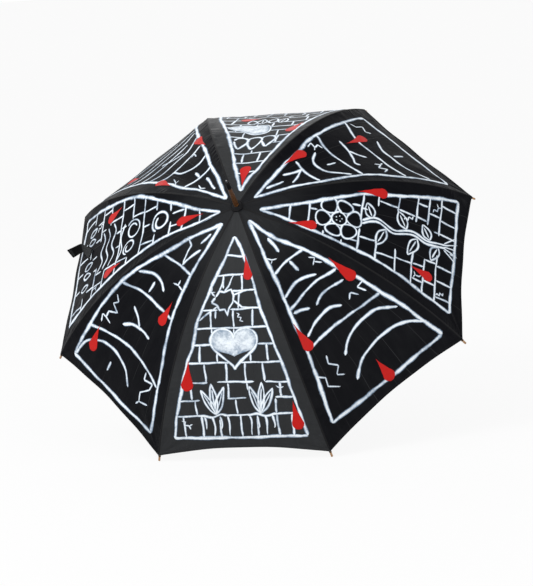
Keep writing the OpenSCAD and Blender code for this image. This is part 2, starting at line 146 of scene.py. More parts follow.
# %% Values and finishes
class Value:
    def __init__(self, finish, output):
        self.finish, self.output = finish, output

    def _math(self, word, first, second=0.0):
        return self.finish.add("ShaderNodeMath", {"operation": word}, {0: first, 1: second})

    def __add__(self, other):
        return self._math("ADD", self, other)

    def __radd__(self, other):
        return self._math("ADD", other, self)

    def __sub__(self, other):
        return self._math("SUBTRACT", self, other)

    def __rsub__(self, other):
        return self._math("SUBTRACT", other, self)

    def __mul__(self, other):
        return self._math("MULTIPLY", self, other)

    def __rmul__(self, other):
        return self._math("MULTIPLY", other, self)

    def __pow__(self, other):
        return self._math("POWER", self, other)

    def __abs__(self):
        return self._math("ABSOLUTE", self)

    def between(self, low, high, to_low=0.0, to_high=1.0):
        """This value, stretched so that low gives to_low and high gives to_high."""
        return self.finish.add("ShaderNodeMapRange", {"interpolation_type": "SMOOTHSTEP"}, {
            "Value": self, "From Min": low, "From Max": high,
            "To Min": to_low, "To Max": to_high})


class Finish:
    def __init__(self, name, net=None):
        if net is None:
            self.material = bpy.data.materials.new(name)
            self.material.use_nodes = True
            net = self.material.node_tree
        self.nodes, self.links = net.nodes, net.links
        self.nodes.clear()

    def add(self, kind, settings=None, inputs=None, output=0):
        node = self.nodes.new(kind)
        for name, value in (settings or {}).items():
            setattr(node, name, value)
        for name, value in (inputs or {}).items():
            if isinstance(value, Value):
                self.links.new(value.output, node.inputs[name])
            else:
                node.inputs[name].default_value = value
        return Value(self, node.outputs[output])

    def mix(self, share, first, second):
        """The first colour where share is 0, the second where it is 1."""
        first, second = (c if isinstance(c, Value) else (*c, 1.0) for c in (first, second))
        return self.add("ShaderNodeMix", {"data_type": "RGBA"},
                        {0: share, 6: first, 7: second}, 2)

    def where(self):
        return self.add("ShaderNodeTexCoord", output="Object")

    def stored(self, label, output="Vector"):
        return self.add("ShaderNodeAttribute", {"attribute_name": label}, output=output)

    def stretched(self, vector, scale, turn=(0.0, 0.0, 0.0)):
        return self.add("ShaderNodeMapping", None,
                        {"Vector": vector, "Rotation": turn, "Scale": scale})

    def noise(self, vector, scale, detail=3.0):
        return self.add("ShaderNodeTexNoise", None,
                        {"Vector": vector, "Scale": scale, "Detail": detail})

    def bump(self, height, distance, strength=1.0):
        return self.add("ShaderNodeBump", None,
                        {"Height": height, "Distance": distance, "Strength": strength})

    def surface(self, **sockets):
        """Finishes the material with one Principled shader and returns the material."""
        named = {name.replace("_", " "): value if isinstance(value, (Value, float)) else
                 (*value, 1.0) for name, value in sockets.items()}
        shader = self.add("ShaderNodeBsdfPrincipled", None, named)
        self.add_output(shader)
        return self.material

    def add_output(self, shader, kind="ShaderNodeOutputMaterial"):
        out = self.nodes.new(kind)
        self.links.new(shader.output, out.inputs["Surface"])


print("finishes can be written as expressions")

# %% [markdown]
# ## Floor and light
#
# A pale floor that runs far back takes the umbrella's shadow. To the camera it is mostly
# white, by a mix that asks Light Path whether the ray comes from the camera, while the
# umbrella itself sees an ordinary pale floor that throws soft light up under the canopy.
# One large soft lamp hangs over the front left, a weaker one fills from the right, and a
# third one stands behind.

# %% Floor and sky
paper_white = 0.9


def seen_from_outside(finish):
    """1 for a camera, mirror or glass ray, 0 for light that bounces about."""
    camera_ray, glossy, through = (finish.add("ShaderNodeLightPath", output=f"Is {ray} Ray")
                                   for ray in ("Camera", "Glossy", "Transmission"))
    return (camera_ray + glossy + through).between(0.0, 1.0)


white, pale_grey = (1.0, 1.0, 1.0, 1.0), (0.8, 0.8, 0.8, 1.0)
floor_finish = Finish("floor_paper")
pale = floor_finish.add("ShaderNodeBsdfDiffuse", None, {"Color": pale_grey})
glow = floor_finish.add("ShaderNodeEmission", None, {"Color": white, "Strength": 1.0})
floor_mix = floor_finish.add("ShaderNodeMixShader", None, {
    0: seen_from_outside(floor_finish) * paper_white, 1: pale, 2: glow})
floor_finish.add_output(floor_mix)

floor_half = 150.0
floor_mesh = bpy.data.meshes.new("floor")
floor_mesh.from_pydata([(x * floor_half, y * floor_half, 0.0)
                        for x, y in ((-1, -1), (1, -1), (1, 1), (-1, 1))], [], [(0, 1, 2, 3)])
floor_mesh.materials.append(floor_finish.material)
floor = bpy.data.objects.new("floor", floor_mesh)
bpy.context.scene.collection.objects.link(floor)

sky_light = 0.72
world = bpy.data.worlds.new("studio")
bpy.context.scene.world = world
world.use_nodes = True
sky = Finish("studio_sky", world.node_tree)
backdrop = sky.add("ShaderNodeBackground", None, {
    "Color": white, "Strength": seen_from_outside(sky).between(0.0, 1.0, sky_light, 1.0)})
sky.add_output(backdrop, "ShaderNodeOutputWorld")
bpy.context.scene.view_settings.view_transform = "Standard"
print("floor and sky are white to the camera, and light the object at", sky_light)


# %% Lamps
lamp_target = Vector((0.0, 0.0, 0.35))


def soft_lamp(name, place, size, watts):
    data = bpy.data.lights.new(name, "AREA")
    data.shape, data.size, data.energy = "DISK", size, watts
    lamp = bpy.data.objects.new(name, data)
    lamp.location = place
    lamp.rotation_euler = (Vector(place) - lamp_target).to_track_quat("Z", "Y").to_euler()
    bpy.context.scene.collection.objects.link(lamp)


soft_lamp("key_lamp", (-1.6, -2.0, 2.6), 1.6, 48.0)
soft_lamp("fill_lamp", (2.2, -2.2, 1.2), 2.0, 13.0)
soft_lamp("back_lamp", (-0.8, 2.6, 2.0), 1.6, 9.0)
print("three soft lamps")

# %% [markdown]
# ## The shape of the cloth
#
# A canopy is sewn from eight triangular gores. Between two ribs the cloth is nearly
# straight across and sags a little, and its hem bows in. The function below gives a point
# of one gore from `t`, which runs from rib to rib, and `s`, which runs from the crown to
# the hem. A cloth simulation would end in much the same shape, because the ribs hold the
# cloth tight, so the curve is written down directly and gets its folds from a sum of small
# waves: pulls that fan out from each tip, long soft hollows, and a slight flutter.

# %% A point of a gore
wave_phase = np.random.default_rng(11).uniform(0, 2 * pi, (RIBS + 1, 12))
hem_chord = 2 * canopy_r * sin(half_gore)
hollow, pull, pucker, flutter = 0.9 * MM, 2.2 * MM, 0.5 * MM, 1.1 * MM


def bow_at(t):
    """0 at both ribs and 1 half way between them."""
    return 4 * t * (1 - t)


def slope_reach(t):
    """How much the slope grows from the crown's hole to the hem."""
    return rim_slope - hem_bow * bow_at(t) / cloth_arc - hole_slope


def round_shaft(azimuth, out, across, up):
    """Upright points from their distance out, their distance across and their height."""
    return np.stack([out * cos(azimuth) - across * sin(azimuth),
                     out * sin(azimuth) + across * cos(azimuth), up], axis=-1)


def taut_cloth(k, t, s):
    slope = hole_slope + slope_reach(t) * s
    radius = arc_x + cloth_arc * np.sin(slope)
    sink = cloth_sag * bow_at(t) * np.sin(pi * s)
    across = (1 - 2 * t) * radius * sin(half_gore)
    out = radius * cos(half_gore) - sink * np.sin(slope)
    up = arc_z + cloth_arc * np.cos(slope) - sink * np.cos(slope)
    return round_shaft(rib_azimuth(k) - half_gore, out, across, up)


def unit(vectors, least=1e-12):
    return vectors / np.maximum(np.linalg.norm(vectors, axis=-1, keepdims=True), least)


def cloth_normal(k, t, s):
    step = 1e-3
    along_t = taut_cloth(k, t + step, s) - taut_cloth(k, t - step, s)
    along_s = taut_cloth(k, t, s + step) - taut_cloth(k, t, s - step)
    n = unit(np.cross(along_s, along_t))
    return n * np.sign(n[..., 2:3])


def fold_height(k, t, s):
    """How far the cloth stands out of its taut shape, in metres."""
    a = wave_phase[k]
    held = np.clip(bow_at(t), 0, 1) ** 0.5
    radius = s * gore_length
    width = hem_chord * s
    height = hollow * np.sin(2 * pi * t * 2.2 + a[0] + 3 * s) * np.sin(pi * s) * held
    for corner, shift in ((t, 0), (1 - t, 4)):
        away = np.hypot(corner * width, (1 - s) * gore_length)
        angle = np.arctan2(corner * width, (1 - s) * gore_length + 1e-6)
        fan = np.sin(angle * 9 + a[1 + shift]) * 0.8 + np.sin(angle * 15 + a[2 + shift]) * 0.4
        height = height + pull * fan * np.exp(-away / 0.10) * np.clip(away / 0.03, 0, 1) * held
    for side_t, pitch, phase in ((t, 0.031, a[3]), (1 - t, 0.027, a[7])):
        height = height + pucker * np.sin(radius / pitch + phase) * np.exp(
            -(side_t * width / 0.02) ** 2) * held
    return height + flutter * np.sin(t * 17 + a[8]) * np.clip((s - 0.82) / 0.18, 0, 1) ** 2 * held


def cloth_surface(k, t, s, lift=0.0):
    """Points of the folded cloth, and their normals, laid down in their real place."""
    step = 2e-3
    normal = cloth_normal(k, t, s)

    def folded(tt, ss):
        return taut_cloth(k, tt, ss) + cloth_normal(k, tt, ss) * fold_height(k, tt, ss)[..., None]

    along_t = folded(t + step, s) - folded(t - step, s)
    along_s = folded(t, s + step) - folded(t, s - step)
    shaded = unit(np.cross(along_s, along_t))
    shaded *= np.sign((shaded * normal).sum(-1, keepdims=True))
    lifted = np.asarray(lift)[..., None] if np.ndim(lift) else lift
    points = folded(t, s) + normal * lifted
    return laid_down(points), shaded @ lying


def from_pattern(u, v):
    """t and s of a spot on the flat pattern: u across to the first rib, v from the crown."""
    slope = hole_slope + v / cloth_arc
    radius = arc_x + cloth_arc * np.sin(slope)
    t = (1 - u / (radius * sin(half_gore))) / 2
    return t, (slope - hole_slope) / slope_reach(t)


print("hem of gore 5 at", np.round(cloth_surface(5, np.array([0.5]), np.array([1.0]))[0][0], 3))


# %% [markdown]
# Every sheet and every stroke of paint ends as a list of corners and faces, so one helper
# makes the mesh. It takes normals from the cloth's own curve, which keeps the shading
# smooth where two pieces of one gore meet. Any number that a finish needs, such as the
# place on the gore, is stored with the corners as an attribute.

# %% Mesh helper


def make_piece(name, points, faces, material, normals=None, attributes=None, smooth=True):
    mesh = bpy.data.meshes.new(name)
    mesh.from_pydata([tuple(p) for p in points], [], [tuple(f) for f in faces])
    for label, values in (attributes or {}).items():
        kind = "FLOAT_VECTOR" if np.ndim(values) == 2 else "FLOAT"
        slot = mesh.attributes.new(label, kind, "POINT")
        slot.data.foreach_set("vector" if kind == "FLOAT_VECTOR" else "value",
                              np.asarray(values, np.float32).ravel())
    mesh.materials.append(material)
    mesh.polygons.foreach_set("use_smooth", [smooth] * len(mesh.polygons))
    mesh.validate()
    if normals is not None:
        mesh.normals_split_custom_set_from_vertices([tuple(n) for n in normals])
    mesh.update()
    obj = bpy.data.objects.new(name, mesh)
    bpy.context.scene.collection.objects.link(obj)
    return obj


def grid_faces(rows, cols, closed=False):
    """Quads of a grid, row after row. A closed grid joins its last column to its first."""
    across = cols if closed else cols - 1
    return [(i * cols + j, i * cols + (j + 1) % cols,
             (i + 1) * cols + (j + 1) % cols, (i + 1) * cols + j)
            for i in range(rows - 1) for j in range(across)]


def folds_with(piece, rib):
    """The piece hangs on a rib and moves with it."""
    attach(piece, f"rib_{rib}")
    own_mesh(piece)


print("mesh helpers ready")

# %% [markdown]
# ## The cloth's finish
#
# Umbrella polyester is a fine, tight weave with a slight sheen. It isn't an even black. The
# sheen it catches along its threads is painted into the colour: each gore gets a painted
# sheen level of its own, so the front and back gores are painted greyer than the sides, the
# cloth near the crown gets painted sheen, and thin crease lines from years of being rolled up
# get painted highlights. It also carries real dust. The colour is mixed from a black and a
# grey, and the crease lines raise the surface a little as well.

# %% Black polyester
cloth_shine, cloth_ior = 0.5, 1.09
cloth_black, cloth_grey = (0.0022, 0.0023, 0.0038), (0.034, 0.0355, 0.0375)


def black_cloth(name, painted_sheen):
    f = Finish(name)
    place = f.stored("place")
    t = f.add("ShaderNodeSeparateXYZ", None, {"Vector": place}, "X")
    s = f.add("ShaderNodeSeparateXYZ", None, {"Vector": place}, "Y")
    pattern = f.stored("pattern")
    dust = f.noise(f.stretched(pattern, (1.0, 0.22, 1.0)), 60.0, 5.0)
    clouds = f.noise(pattern, 7.0, 2.0)
    wander = (f.noise(f.stretched(pattern, (0.2, 1.0, 1.0)), 5.0, 2.0) - 0.5) * 0.05
    # Crease lines: they raise small bumps, and their pale colour is a painted highlight along each
    # crease.
    creases_with_sheen = 0.0
    for spot, width, strength in ((0.17, 0.005, 0.5), (0.36, 0.004, 0.8), (0.46, 0.003, 0.35),
                                  (0.61, 0.004, 0.7), (0.83, 0.005, 0.55)):
        line = abs(t - (wander + spot)).between(0.0, width, strength, 0.0)
        creases_with_sheen = line + creases_with_sheen
    creases_with_sheen = creases_with_sheen * s.between(0.12, 0.4) * clouds.between(0.35, 0.6)
    # The grey sums real dust and random clouds, the creases' painted highlights, a painted sheen that
    # greys the cloth towards the crown, and the gore's painted sheen level.
    grey = (dust.between(0.35, 0.75) * 0.10 + clouds * 0.06 + creases_with_sheen * 0.9
            + s.between(0.05, 0.45, 0.42, 0.0) + painted_sheen)
    near_seam = t.between(0.0, 0.16, 1.0, 0.0) + t.between(0.84, 1.0)
    pulls = f.noise(f.stretched(pattern, (0.3, 1.0, 1.0), (0.0, 0.0, 0.5)), 85.0, 2.0)
    tucks = (f.noise(f.stretched(pattern, (1.0, 0.3, 1.0)), 70.0, 2.0)
             * s.between(0.05, 0.38, 1.0, 0.0))
    crinkle = f.noise(pattern, 55.0, 4.0)
    weave = f.noise(pattern, 900.0, 1.0)
    near_seam = near_seam * f.noise(pattern, 16.0, 1.0).between(0.42, 0.62)
    folds = pulls * near_seam * 3.4 + tucks * 2.6 + crinkle * 0.6 + weave * 0.05 + creases_with_sheen * 1.2
    return f.surface(
        Base_Color=f.mix(grey.between(0.0, 1.3), cloth_black, cloth_grey),
        Roughness=dust.between(0.2, 0.9, 0.38, 0.54),
        Specular_IOR_Level=cloth_shine, IOR=cloth_ior,
        Normal=f.bump(folds, 0.0022, 0.6))


# Painted sheen: how much greyer each gore is painted, most on the front gore 5 and the back gore 1.
gore_painted_sheen = {1: 0.85, 2: 0.0, 3: 0.14, 4: 0.26, 5: 0.95, 6: 0.22, 7: 0.1, 8: 0.12}
cloth_finish = {k: black_cloth(f"polyester_{k}", g) for k, g in gore_painted_sheen.items()}
print("cloth finishes:", len(cloth_finish))

# %% [markdown]
# ## Eight gores
#
# Each gore is one cut of cloth, sewn to its neighbours along the ribs. It has to gather
# when the ribs swing in, and one half follows one rib while the other half follows the
# next, so each gore is made as two half sheets that meet along its middle with nothing to
# see between them. The flat cut is a triangle with a bowed side.

# %% Gores
sheet_rows, half_cols = 118, 38
half_spans = {"a": (0.0, 0.5), "b": (0.5, 1.0)}


def rib_of(k, half):
    """The rib that a half gore is sewn along."""
    return k if half == "a" else k % RIBS + 1


def pattern_of(t, s):
    slope = hole_slope + slope_reach(t) * s
    radius = arc_x + cloth_arc * np.sin(slope)
    return (1 - 2 * t) * radius * sin(half_gore), cloth_arc * (slope - hole_slope)


def cloth_labels(k, t, s):
    """What the cloth's finish needs at each corner: its place on the gore and on the pattern."""
    return {"place": np.stack([t, s, np.full_like(t, k)], axis=-1),
            "pattern": np.stack([*pattern_of(t, s), np.full_like(t, k * 0.7)], axis=-1)}


def grid_of(rows, low_s, high_s, cols, low_t, high_t):
    """Two flat lists that run over a grid, row after row."""
    return (g.ravel() for g in np.meshgrid(np.linspace(low_s, high_s, rows),
                                           np.linspace(low_t, high_t, cols), indexing="ij"))


def half_sheet(k, half):
    s, t = grid_of(sheet_rows + 1, 0, 1, half_cols + 1, *half_spans[half])
    points, normals = cloth_surface(k, t, s)
    return make_piece(f"gore_{k}_{half}_cloth", points, grid_faces(sheet_rows + 1, half_cols + 1),
                      cloth_finish[k], normals, cloth_labels(k, t, s))


u_edge, v_edge = pattern_of(np.zeros(200), np.linspace(0, 1, 200))
u_hem, v_hem = pattern_of(np.linspace(0, 0.5, 60), np.ones(60))

cloth_pieces = {}
for k in range(1, RIBS + 1):
    for half in half_spans:
        piece = half_sheet(k, half)
        folds_with(piece, rib_of(k, half))
        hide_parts(f"gore_{k}")
        cloth_pieces[k, half] = piece

# %% [markdown]
# The hem is the cloth's edge turned under twice and stitched, seven millimetres wide. It
# is a narrow band that wraps over the edge, and the thread shows on it as a row of small
# raised stitches. Modelling the band makes the edge look like cloth that ends in a fold and
# not like a cut sheet of paper.

# %% Hem and its stitches
hem_width = 7 * MM
band_section = ((-1.0, 0.05), (-0.97, 0.3), (-0.5, 0.34), (-0.04, 0.34), (0.05, 0.0),
                (-0.04, -0.75), (-0.5, -0.75), (-0.97, -0.7))
stitch_pitch, stitch_length, stitch_width, stitch_in = 3.6 * MM, 2.5 * MM, 0.56 * MM, 4.8 * MM
hem_steps, seam_steps = 61, 200
seam_section = ((-1.9, 0.02), (-1.5, 0.24), (-0.5, 0.3), (0.0, 0.02), (0.5, 0.3), (1.5, 0.24),
                (1.9, 0.02))

thread_finish = Finish("black_thread").surface(
    Base_Color=(0.006, 0.006, 0.007), Roughness=0.6, Specular_IOR_Level=0.15)


def on_rib(piece, k):
    """The piece rides stiffly on a rib."""
    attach(piece, f"rib_{k}")
    return piece


def hem_band(k, half):
    t = np.repeat(np.linspace(*half_spans[half], hem_steps), len(band_section))
    inwards = np.tile([row[0] for row in band_section], hem_steps) * hem_width / gore_length
    lift = np.tile([row[1] for row in band_section], hem_steps) * MM
    points, _ = cloth_surface(k, t, 1 + inwards, lift)
    return make_piece(f"gore_{k}_{half}_hem", points,
                      grid_faces(hem_steps, len(band_section), True), cloth_finish[k], None,
                      cloth_labels(k, t, 1 + inwards))


def stitch_row(k, half):
    low, high = half_spans[half]
    count = int((high - low) * hem_chord / stitch_pitch)
    centres = low + (np.arange(count) + 0.5) * (high - low) / count
    half_l, half_w = stitch_length / hem_chord / 2, stitch_width / 2 / gore_length
    line = 1 - stitch_in / gore_length
    corners = ((-1, -1, 0.3), (1, -1, 0.3), (1, 1, 0.3), (-1, 1, 0.3),
               (-0.6, -0.4, 0.62), (0.6, -0.4, 0.62), (0.6, 0.4, 0.62), (-0.6, 0.4, 0.62))
    t = np.concatenate([centres + c[0] * half_l for c in corners])
    s = np.concatenate([np.full(count, line + c[1] * half_w) for c in corners])
    lift = np.concatenate([np.full(count, c[2] * MM) for c in corners])
    points, _ = cloth_surface(k, t, s, lift)
    block = ((4, 5, 6, 7), (0, 1, 5, 4), (1, 2, 6, 5), (2, 3, 7, 6), (3, 0, 4, 7))
    faces = [tuple(c * count + n for c in quad) for n in range(count) for quad in block]
    return make_piece(f"gore_{k}_{half}_stitches", points, faces, thread_finish, smooth=False)


def seam_ridge(k):
    """The seam over rib k. Its sides drop away with the cloth, and a groove runs along it."""
    slope = np.repeat(np.linspace(hole_slope + 0.01, rim_slope, seam_steps), len(seam_section))
    sideways = np.tile([x for x, _ in seam_section], seam_steps) * MM
    lift = np.tile([h for _, h in seam_section], seam_steps) * MM
    lift = lift - abs(sideways) * np.sin(slope) * np.tan(half_gore)
    out = arc_x + (cloth_arc + lift) * np.sin(slope)
    up = arc_z + (cloth_arc + lift) * np.cos(slope)
    piece = make_piece(f"seam_{k}", laid_down(round_shaft(rib_azimuth(k), out, sideways, up)),
                       grid_faces(seam_steps, len(seam_section)), thread_finish)
    return on_rib(piece, k)


for (k, half), sheet in cloth_pieces.items():
    band, stitches = hem_band(k, half), stitch_row(k, half)
    extra = [seam_ridge(k)] if half == "a" else []
    for piece in (band, stitches):
        folds_with(piece, rib_of(k, half))
    f"rib_{rib_of(k, half)}"
print("hems and stitches on", len(cloth_pieces), "half sheets, and", RIBS, "seams")

# %% [markdown]
# ## Paint
#
# The lines are drawn by hand with a paint pen, so they wander, swell and thin out, and end
# round. The drops are filled in with red. A picture mapped onto the cloth would be blurred
# close up. Instead every stroke is a thin ribbon of its own that lies about half a
# millimetre above the cloth. It is drawn flat on the gore's pattern, in millimetres: `u`
# across, positive towards the gore's first rib, and `v` along from the crown. A stroke
# that crosses the gore's middle is cut there, because its two parts move with two ribs.

# %% Strokes on a flat pattern
hand = np.random.default_rng(29)
ribbon_section = ((-1.5, 0.04, 0.0), (-1.05, 0.10, 0.30), (-0.62, 0.24, 0.85), (0.0, 0.34, 1.0),
                  (0.62, 0.24, 0.85), (1.05, 0.10, 0.30), (1.5, 0.04, 0.0))


def smooth_path(points, spacing=4.0, round_corners=True):
    """Even points along a path, rounded through its corners or straight between them."""
    p = np.asarray(points, float)
    if round_corners and len(p) > 2:
        q = np.vstack([2 * p[0] - p[1], p, 2 * p[-1] - p[-2]])
        steps = np.linspace(0, 1, 12, endpoint=False)[:, None]
        parts = [0.5 * ((2 * q[i + 1]) + (q[i + 2] - q[i]) * steps
                        + (2 * q[i] - 5 * q[i + 1] + 4 * q[i + 2] - q[i + 3]) * steps ** 2
                        + (3 * q[i + 1] - q[i] - 3 * q[i + 2] + q[i + 3]) * steps ** 3)
                 for i in range(len(p) - 1)]
        p = np.vstack([*parts, p[-1:]])
    run = np.concatenate([[0], np.cumsum(np.linalg.norm(np.diff(p, axis=0), axis=1))])
    count = max(3, int(run[-1] / spacing) + 1)
    at = np.linspace(0, run[-1], count)
    return np.stack([np.interp(at, run, p[:, 0]), np.interp(at, run, p[:, 1])], axis=1), at


class Painting:
    """Everything painted on one gore, as flat faces with corners (u, v, lift, cover)."""

    def __init__(self):
        self.faces = {"white": [], "red": []}
        self.strokes = 0

    def line(self, points, width, round_corners=True, wobble=1.0, taper=0.0):
        path, run = smooth_path(points, round_corners=round_corners)
        count, length = len(path), run[-1]
        tangent = unit(np.gradient(path, axis=0), 1e-9)
        across = np.stack([-tangent[:, 1], tangent[:, 0]], axis=1)
        waves = hand.uniform(0, 2 * pi, 4)
        drift = wobble * (0.55 * np.sin(run / 17 + waves[0]) + 0.35 * np.sin(run / 7.3 + waves[1]))
        near_end = np.minimum(run, length - run)
        path = path + across * drift[:, None] * np.minimum(1, near_end / 12)[:, None]
        swell = 1 + 0.14 * np.sin(run / 23 + waves[2]) + 0.10 * np.sin(run / 6.1 + waves[3])
        swell = swell + hand.normal(0, 0.05, count)
        swell = swell * np.sqrt(np.clip(1 - (1 - near_end / (0.6 * width)).clip(0) ** 2, 0.05, 1))
        swell = swell * (1 - taper * run / max(length, 1e-9))
        thin = (hand.uniform(0.78, 1.0) + 0.12 * np.sin(run / 31 + waves[1])
                + hand.normal(0, 0.04, count))
        self.strokes += 1
        extra = 0.012 * (self.strokes % 9)
        rows = [[(*(path[i] + across[i] * place * width / 2 * swell[i]), lift + extra,
                  cover * np.clip(thin[i], 0.35, 1)) for place, lift, cover in ribbon_section]
                for i in range(count)]
        self.faces["white"] += [(a[j], a[j + 1], b[j + 1], b[j]) for a, b in zip(rows, rows[1:])
                                for j in range(len(ribbon_section) - 1)]

    def fill(self, outline, colour, lift=0.2, rings=5, cover=1.0):
        """A filled shape, in rings that shrink towards its middle."""
        edge = np.asarray(outline, float)
        if np.dot(edge[:, 0], np.roll(edge[:, 1], -1)) > np.dot(edge[:, 1], np.roll(edge[:, 0], -1)):
            edge = edge[::-1]
        middle = edge.mean(axis=0)
        rows = []
        for ring in range(rings + 1):
            share = 1 - ring / rings * 0.97
            depth = min(1.0, ring / 1.5)
            patch = cover * (0.72 + 0.28 * depth)
            rows.append([(*(middle + (p - middle) * share), lift + 0.12 * depth,
                          float(np.clip(patch + hand.normal(0, 0.05), 0.2, 1))) for p in edge])
        n = len(edge)
        self.faces[colour] += [(a[j], a[(j + 1) % n], b[(j + 1) % n], b[j])
                               for a, b in zip(rows, rows[1:]) for j in range(n)]
        self.faces[colour].append(tuple(rows[-1]))

    def drop(self, tail, head, r=13.5):
        """A red drop that hangs from its pointed tail to the middle of its round head."""
        tail, head = np.asarray(tail, float), np.asarray(head, float)
        axis = head - tail
        length = np.linalg.norm(axis)
        axis /= length
        across = np.array([-axis[1], axis[0]])
        r *= hand.uniform(0.94, 1.06)
        lean = hand.uniform(-0.12, 0.12) * length
        right = [tail + axis * length * f + across * (r * f ** 1.35 + lean * f * (1 - f))
                 for f in np.linspace(0.0, 0.92, 9)]
        cap = [head + r * (across * cos(a) + axis * 1.12 * sin(a))
               for a in np.linspace(0.1, pi - 0.1, 13)]
        left = [tail + axis * length * f - across * (r * f ** 1.35 - lean * f * (1 - f))
                for f in np.linspace(0.92, 0.08, 8)]
        self.fill(np.array(right + cap + left) + hand.normal(0, 0.25, (30, 2)), "red", 0.42, 6)


print("brush ready")

# %% [markdown]
# The cutting rule is simple. A face whose corners all lie on one side of the middle belongs
# to that half. Any other face is clipped along the middle line, once for each half. Then
# the corners are lifted off the flat pattern and laid on the folded cloth.

# %% From flat strokes to painted halves
paint_clearance = 0.12


def clipped(face, sign):
    """The part of a flat face on one side of the gore's middle line."""
    kept = []
    for a, b in zip(face, (*face[1:], face[0])):
        ina, inb = a[0] * sign >= 0, b[0] * sign >= 0
        if ina:
            kept.append(a)
        if ina != inb:
            share = a[0] / (a[0] - b[0])
            kept.append(tuple(np.array(a) + (np.array(b) - np.array(a)) * share))
    return kept if len(kept) >= 3 else []


def paint_half(k, half, colour, flat_faces, material):
    sign = 1 if half == "a" else -1
    spots, index, faces = [], {}, []
    for face in flat_faces:
        part = clipped(face, sign)
        corners = []
        for corner in part:
            key = tuple(np.round(corner[:3], 3))
            if key not in index:
                index[key] = len(spots)
                spots.append(corner)
            if not corners or corners[-1] != index[key]:
                corners.append(index[key])
        if len(set(corners)) >= 3 and len(set(corners)) == len(corners):
            faces.append(corners)
    if not faces:
        return None
    spots = np.array(spots)
    t, s = from_pattern(spots[:, 0] * MM, spots[:, 1] * MM)
    points, normals = cloth_surface(k, t, s, (spots[:, 2] + paint_clearance) * MM)
    # The paint keeps the grey of the cloth under it, which is the gore's painted sheen.
    return make_piece(f"gore_{k}_{half}_{colour}_paint", points, faces, material, normals,
                      {"cover": spots[:, 3], "cloth_sheen_under": t * 0 + gore_painted_sheen[k] * 0.6 + 0.1,
                       "pattern": np.column_stack([spots[:, :2] * MM, t * 0 + k])})


print("strokes can be laid on the cloth")

# %% [markdown]
# Dried white paint over black cloth is bluish where it is thin and clean white where it
# lies thick, and its edge fades out over a millimetre or two into the weave. Each corner of a
# stroke carries how well it covers and how grey the cloth under it is, and that grey is the
# gore's painted sheen. The finish mixes from that cloth colour through a cold grey to white.
# The red covers better.

# %% Paint finishes
paint_shine = 0.16


def dried_paint(name, thin, thick, rough):
    f = Finish(name)
    cover = f.stored("cover", "Fac")
    pattern = f.stored("pattern")
    bristles = f.noise(pattern, 260.0, 3.0)
    blots = f.noise(pattern, 45.0, 3.0)
    body = cover + ((bristles - 0.5) * 0.4 + (blots - 0.5) * 0.8) * cover.between(0.0, 0.3)
    # The thin edge fades into the cloth's grey, which carries the gore's painted sheen.
    cloth_sheen_under = f.stored("cloth_sheen_under", "Fac")
    film = f.mix(body.between(0.02, 0.34), f.mix(cloth_sheen_under, cloth_black, cloth_grey), thin)
    return f.surface(Base_Color=f.mix(body.between(0.3, 0.95), film, thick),
                     Roughness=blots.between(0.2, 0.8, rough, rough + 0.15),
                     Specular_IOR_Level=paint_shine,
                     Normal=f.bump(bristles * 0.5 + body * 0.5, 0.0006, 0.6))


white_paint = dried_paint("white_paint", (0.17, 0.25, 0.36), (0.86, 0.92, 0.97), 0.42)
red_paint = dried_paint("red_paint", (0.26, 0.006, 0.005), (0.52, 0.008, 0.006), 0.4)
print("paint finishes", white_paint.name, red_paint.name)


# %% [markdown]
# ## What is painted
#
# Every gore has the same white border, a tall triangle drawn by hand. Four gores are
# filled with a wall of bricks and four with hanging arcs, short dashes and cracks. In front
# of the bricks stand plain shapes that belong to nobody: a heart on leaves, a daisy, a
# cloud and some curls. The helpers below draw those patterns between the two sides of a
# border, whatever its slope, so one description serves every gore.

# %% Borders, bricks and cracks
border_width, brick_width, arc_width, crack_width = 7.4, 4.3, 5.9, 3.2
brick_length, brick_margin = 43, 9
art = {k: Painting() for k in range(1, RIBS + 1)}


class Border:
    def __init__(self, painting, left, right, width=border_width):
        self.left, self.right = np.array(left, float), np.array(right, float)
        painting.line(left, width)
        painting.line(right, width)
        (ua, va), (ub, vb) = left[-1], right[-1]
        painting.line([left[-1], (0.5 * (ua + ub), 0.5 * (va + vb) + 2), right[-1]], width)

    def side(self, which, v):
        line = self.left if which < 0 else self.right
        return float(np.interp(v, line[:, 1], line[:, 0]))


def inside(spot, outline):
    """Whether a spot lies inside an outline, by counting the edges on one side of it."""
    crossings = 0
    for (ua, va), (ub, vb) in zip(outline, [*outline[1:], outline[0]]):
        if (va > spot[1]) != (vb > spot[1]) and spot[0] < ua + (ub - ua) * (spot[1] - va) / (vb - va):
            crossings += 1
    return crossings % 2 == 1


def oval(u, v, half_width, half_height):
    return [(u + half_width * cos(a), v + half_height * sin(a))
            for a in np.linspace(0, 2 * pi, 20)[:-1]]


def free_parts(points, shapes):
    """A path cut where it runs behind one of the shapes in front, as lists of points."""
    dense, _ = smooth_path(points, 3.0, False)
    parts, current = [], []
    for p in dense:
        hidden = any(inside(p, shape) for shape in shapes)
        if hidden and len(current) > 3:
            parts.append(current)
        current = [] if hidden else [*current, p]
    return parts + ([current] if len(current) > 3 else [])


